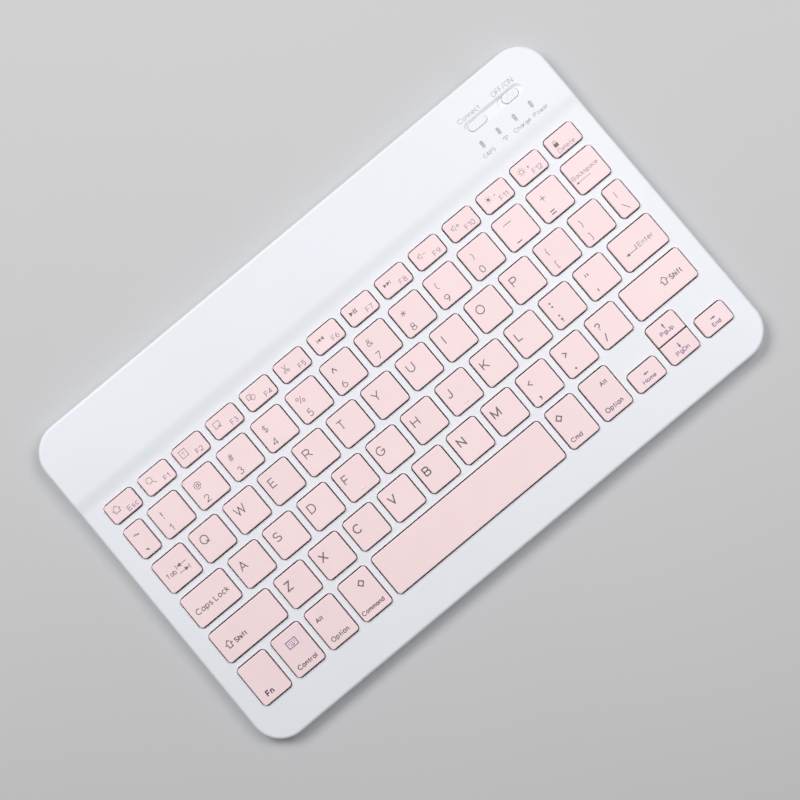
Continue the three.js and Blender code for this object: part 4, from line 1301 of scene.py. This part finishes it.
def build_power_slider():
    """The knob, with fine ridges across it, and the neck that reaches down to the switch."""
    bm = bmesh.new()
    box, radius = stadium(SLIDER_X, CONTROL_Y, *SLIDER_SIZE)
    top = slider_high.z - RIDGE_HEIGHT
    slab(bm, box, radius, top - KNOB_THICKNESS, top, 0.22, segments=12, steps=5)
    for i in range(RIDGES):
        x = SLIDER_X + (i - (RIDGES - 1) / 2) * RIDGE_PITCH
        ridge, end = stadium(x, CONTROL_Y, *RIDGE_SIZE)
        slab(bm, ridge, end, top - 0.1, slider_high.z, RIDGE_HEIGHT, segments=4, steps=3)
    half_x, half_y = NECK_SIZE[0] / 2, NECK_SIZE[1] / 2
    neck = (SLIDER_X - half_x, CONTROL_Y - half_y, SLIDER_X + half_x, CONTROL_Y + half_y)
    slab(bm, neck, 0.2, KEEPER_Z[0] + 0.2, top - 0.45, 0.05, segments=3)
    keeper = (SLIDER_X - 2.2, CONTROL_Y - 1.5, SLIDER_X + 2.2, CONTROL_Y + 1.5)
    slab(bm, keeper, 0.3, *KEEPER_Z, 0.08, segments=3)
    tongue = (SLIDER_X - 0.6, CONTROL_Y - 0.5, SLIDER_X + 0.6, CONTROL_Y + 0.5)
    slab(bm, tongue, 0.15, slider_low.z, KEEPER_Z[0] + 0.1, 0.05, segments=3)
    knob = new_object("power_knob", bm)
    finish_piece(knob, "power_slider", [CASING], replaces=["power_slider"])


def build_light_guide():
    low, high = box_mm("light_guide")
    bm = bmesh.new()
    slab(bm, (low.x, low.y, high.x, high.y), 0.6, low.z, low.z + 0.78, 0.1, segments=4)
    for box in LAMP_BOXES:
        slab(bm, box, end_radius(box), low.z + 0.6, high.z + LAMP_RISE, LAMP_RISE, segments=6)
    guide = new_object("lamp_windows", bm)
    finish_piece(guide, "case", [LENS], replaces=["light_guide"])


def build_socket():
    """A drawn metal shell with a rounded mouth, and the tongue inside it."""
    bm = bmesh.new()
    shell = (socket_low.x, socket_low.z, socket_high.x, socket_high.z)
    front, rear = socket_low.y, socket_high.y
    mouth = ((front + 0.3, 0.45), (rear - 0.15, 0.35), (rear, 0.28))
    outside = ((rear, 0.1), (rear - 0.1, 0), (front, 0))
    skin(bm, upright_rings(shell, SOCKET_RADIUS, mouth + outside, 6))
    tongue = (SOCKET_X - 1.9, SOCKET_Z - 0.3, SOCKET_X + 1.9, SOCKET_Z + 0.3)
    levels = ((front + 0.2, 0), (rear - 0.75, 0), (rear - 0.6, 0.12))
    skin(bm, upright_rings(tongue, 0.15, levels, 3), material=1)
    socket = new_object("socket_shell", bm)
    black = plain_component("socket_tongue", (0.02, 0.02, 0.022), 0.5)
    finish_piece(socket, "case", [SOCKET_METAL, black], replaces=["charging_socket"])


def build_labels():
    """Printed words over the controls and under the lamps."""
    bm = bmesh.new()
    lamp_xs = [(b[0] + b[2]) / 2 for b in LAMP_BOXES]
    lamp_front = LAMP_BOXES[0][1]
    above = CONTROL_Y + RECESS_SIZE[1] / 2 + 0.45
    below = lamp_front - 3.55
    marks = [
        text("Connect", BUTTON_X - 0.6, above, 2.0, 10.5, "CENTER", stroke=THIN_STROKE),
        text("OFF/ON", SLIDER_X - 0.4, above - 0.15, 2.25, 10.1, "CENTER", stroke=THIN_STROKE),
        text("CAPS", lamp_xs[0], below, 1.7, 5.6, "CENTER", stroke=THIN_STROKE),
        icon("signal", lamp_xs[1] + 0.4, below + 1.0, 2.0, stroke=WORD_STROKE),
        text("Charge", lamp_xs[2] + 0.35, below, 1.7, 8.0, "CENTER", stroke=THIN_STROKE),
        text("Power", lamp_xs[3] + 1.4, below, 1.7, 6.8, "CENTER", stroke=THIN_STROKE),
    ]
    for mark in marks:
        print_mark(bm, mark, (0, 0, 0, 0), lambda x, y: STRIP_Z, 0)
    labels = new_object("strip_labels", bm)
    finish_piece(labels, "case", [LABEL_INK])


for node in FEET:
    build_foot(node)
build_connect_button()
build_power_slider()
build_light_guide()
build_socket()
build_labels()

# ---- Dome sheet ------------------------------------------------------------------------------------

# The silicone's near-black tone is painted shade for the gaps round the keys.
GAP_SHADE_SILICONE = gap_shade_silicone_material()
DOME_SHEET_TOP_Z = 2.75
dome_low, dome_high = box_mm("dome_sheet")
DOME_TOP_Z = dome_high.z
DOME_STUB = 0.03  # height of the CAD's domes that stays on the sheet, inside the new ones
# (radius, height) from the plunger under the roof, down the inside, and up the outside.
DOME_PROFILE = (
    (0.6, DOME_TOP_Z - 1.6),
    (0.65, DOME_TOP_Z - 1.0),
    (1.2, DOME_TOP_Z - 0.95),
    (1.95, DOME_SHEET_TOP_Z + 1.1),
    (2.5, DOME_SHEET_TOP_Z + 0.02),
    (3.1, DOME_SHEET_TOP_Z + 0.02),
    (3.08, DOME_SHEET_TOP_Z + 0.14),
    (2.94, DOME_SHEET_TOP_Z + 0.34),
    (2.3, DOME_TOP_Z - 1.1),
    (2.14, DOME_TOP_Z - 0.9),
    (2.08, DOME_TOP_Z - 0.25),
    (1.98, DOME_TOP_Z - 0.08),
    (1.8, DOME_TOP_Z),
)


def build_dome_sheet():
    """The flat part of the sheet, with the CAD's holes and slots."""
    bm = bmesh.new()
    bm.from_mesh(frame["nodes"]["dome_sheet"].data)
    bmesh.ops.remove_doubles(bm, verts=bm.verts, dist=1e-7)
    mesh = bpy.data.meshes.new("dome_sheet_web")
    bm.to_mesh(mesh)
    bm.free()
    sheet = link_object("dome_sheet_web", mesh)
    bm = bmesh.new()
    margin = 5
    box = (dome_low.x - margin, dome_low.y - margin, dome_high.x + margin, dome_high.y + margin)
    slab(bm, box, 1, DOME_SHEET_TOP_Z + DOME_STUB, DOME_TOP_Z + margin, 0.5)
    cut(sheet, new_object("above_the_sheet", bm))
    finish_piece(sheet, "case", [GAP_SHADE_SILICONE], replaces=["dome_sheet"])


def build_dome(name, box):
    """A hollow rubber dome under a key."""
    cx, cy = (box[0] + box[2]) / 2, (box[1] + box[3]) / 2
    bm = bmesh.new()
    skin(bm, [[(x, y, z) for x, y in oval(cx, cy, radius, radius, steps=20)] for radius, z in DOME_PROFILE])
    dome = new_object(f"dome_{name}", bm)
    finish_piece(dome, "case", [GAP_SHADE_SILICONE], replaces=["dome_sheet"])
    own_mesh(dome)


build_dome_sheet()
for node, caps in LEGENDS.items():
    for cap_name in caps:
        build_dome(cap_name, cap_boxes[cap_name])

# ---- Inner pieces, which keep their CAD shape ------------------------------------------------------

STEEL = sheet_steel_material()
INNER_MATERIALS = {
    "backing_plate": STEEL,
    "space_bar_wire": STEEL,
    "switch_membrane": traces_material("printed_film", (0.03, 0.04, 0.05), (0.35, 0.36, 0.38), 220),
    "circuit_board": traces_material("solder_mask", (0.012, 0.10, 0.04), (0.05, 0.22, 0.09), 420),
    "membrane_connector": plain_component("black_connector", (0.03, 0.03, 0.032), 0.5),
    "power_switch": plain_component("black_switch", (0.03, 0.03, 0.032), 0.55),
    "connect_switch": plain_component("grey_switch", (0.12, 0.12, 0.125), 0.45),
    "battery": plain_component("laminate_pouch", (0.48, 0.50, 0.52), 0.35, 700),
    "battery_lead": plain_component("red_lead", (0.42, 0.03, 0.025), 0.5),
}
for node, material in INNER_MATERIALS.items():
    mesh = frame["nodes"][node].data
    mesh.materials.clear()
    mesh.materials.append(material)

# ---- Floor, light and camera -----------------------------------------------------------------------

CAMERA_LENS = 82.8
CAMERA_AIM = Vector((-2.1, -2.5, DECK_Z)) * MM
CAMERA_DISTANCE = 0.698
CAMERA_TILT = math.radians(2.34)  # from straight down, leaning towards the front
CAMERA_ROLL = math.radians(-39.79)
FLOOR_REACH = 3000  # millimetres
FLOOR_FADE = (0.25, 0.7)  # metres from the middle, over which the floor gives way to the backdrop
FLOOR_LIGHT = 0.7  # strength of the world's light from below
SKY_LIGHT = 0.15  # and from above
BACKDROP = (0.60, 0.60, 0.605, 1)


def build_floor():
    bm = bmesh.new()
    reach = FLOOR_REACH
    bm.faces.new(loop(bm, [(x, y, 0) for x, y in box_points(-reach, -reach, reach, reach)]))
    floor = new_object("floor", bm)
    s = shader("pale_floor", (0.56, 0.56, 0.565), 0.8)
    mottle(s, (0.55, 0.55, 0.555), (0.57, 0.57, 0.575), 3)
    clear = new_node(s.nodes, "BsdfTransparent")
    mix = new_node(s.nodes, "MixShader")
    s.links.new(floor_clearness(s), mix.inputs["Fac"])
    s.links.new(s.bsdf.outputs["BSDF"], mix.inputs[1])
    s.links.new(clear.outputs["BSDF"], mix.inputs[2])
    s.links.new(mix.outputs["Shader"], s.nodes["Material Output"].inputs["Surface"])
    floor.data.materials.append(s.material)


def floor_clearness(s):
    """1 where the floor is seen through: far off, from below, and for light that bounces off the object."""
    where = new_node(s.nodes, "NewGeometry")
    distance = new_node(s.nodes, "VectorMath")
    distance.operation = "LENGTH"
    fade = new_node(s.nodes, "MapRange", From_Min=FLOOR_FADE[0], From_Max=FLOOR_FADE[1])
    fade.interpolation_type = "SMOOTHSTEP"
    path = new_node(s.nodes, "LightPath")
    either = new_node(s.nodes, "Math")
    any_of = new_node(s.nodes, "Math")
    either.operation = any_of.operation = "MAXIMUM"
    s.links.new(where.outputs["Position"], distance.inputs[0])
    s.links.new(distance.outputs["Value"], fade.inputs["Value"])
    s.links.new(where.outputs["Backfacing"], either.inputs[0])
    s.links.new(path.outputs["Is Diffuse Ray"], either.inputs[1])
    s.links.new(either.outputs["Value"], any_of.inputs[0])
    s.links.new(fade.outputs["Result"], any_of.inputs[1])
    return any_of.outputs["Value"]


def add_light(name, location, size, power):
    """A square soft light that faces the origin."""
    data = bpy.data.lights.new(name, "AREA")
    data.size = size
    data.energy = power
    light = link_object(name, data)
    light.location = location
    light.rotation_euler = (-Vector(location)).to_track_quat("-Z", "Y").to_euler()


def build_world():
    """Light that is brighter from the floor and the horizon than from above, in front of a pale backdrop."""
    world = bpy.data.worlds.new("studio")
    world.use_nodes = True
    nodes, links = world.node_tree.nodes, world.node_tree.links
    light = nodes["Background"]
    light.inputs["Color"].default_value = (0.95, 0.97, 1.0, 1)
    direction = new_node(nodes, "TexCoord")
    height = new_node(nodes, "SeparateXYZ")
    strength = new_node(nodes, "MapRange", From_Min=-0.1, From_Max=0.3, To_Min=FLOOR_LIGHT, To_Max=SKY_LIGHT)
    strength.interpolation_type = "SMOOTHSTEP"
    backdrop = new_node(nodes, "Background", Color=BACKDROP)
    path = new_node(nodes, "LightPath")
    mix = new_node(nodes, "MixShader")
    links.new(direction.outputs["Generated"], height.inputs["Vector"])
    links.new(height.outputs["Z"], strength.inputs["Value"])
    links.new(strength.outputs["Result"], light.inputs["Strength"])
    links.new(path.outputs["Is Camera Ray"], mix.inputs["Fac"])
    links.new(light.outputs["Background"], mix.inputs[1])
    links.new(backdrop.outputs["Background"], mix.inputs[2])
    links.new(mix.outputs["Shader"], nodes["World Output"].inputs["Surface"])
    bpy.context.scene.world = world


def build_camera():
    camera = link_object("camera", bpy.data.cameras.new("camera"))
    camera.data.lens = CAMERA_LENS
    camera.data.clip_start, camera.data.clip_end = 0.01, 20
    back = Vector((0, -math.sin(CAMERA_TILT), math.cos(CAMERA_TILT)))
    camera.location = CAMERA_AIM + back * CAMERA_DISTANCE
    # +X of the camera starts along +X of the frame, then rolls about the line of sight.
    upright = Matrix.Rotation(CAMERA_TILT, 3, "X")
    roll = Matrix.Rotation(CAMERA_ROLL, 3, "Z")
    camera.rotation_euler = (upright @ roll).to_euler()
    bpy.context.scene.camera = camera


build_floor()
add_light("rear_left_light", (-0.3, 0.6, 0.8), 0.5, 5.25)
add_light("rear_light", (0.0, 0.9, 1.1), 0.5, 4.0)
add_light("right_light", (0.35, 0.0, 0.6), 0.4, 2.28)
build_world()
build_camera()
bpy.context.scene.view_settings.view_transform = "Standard"
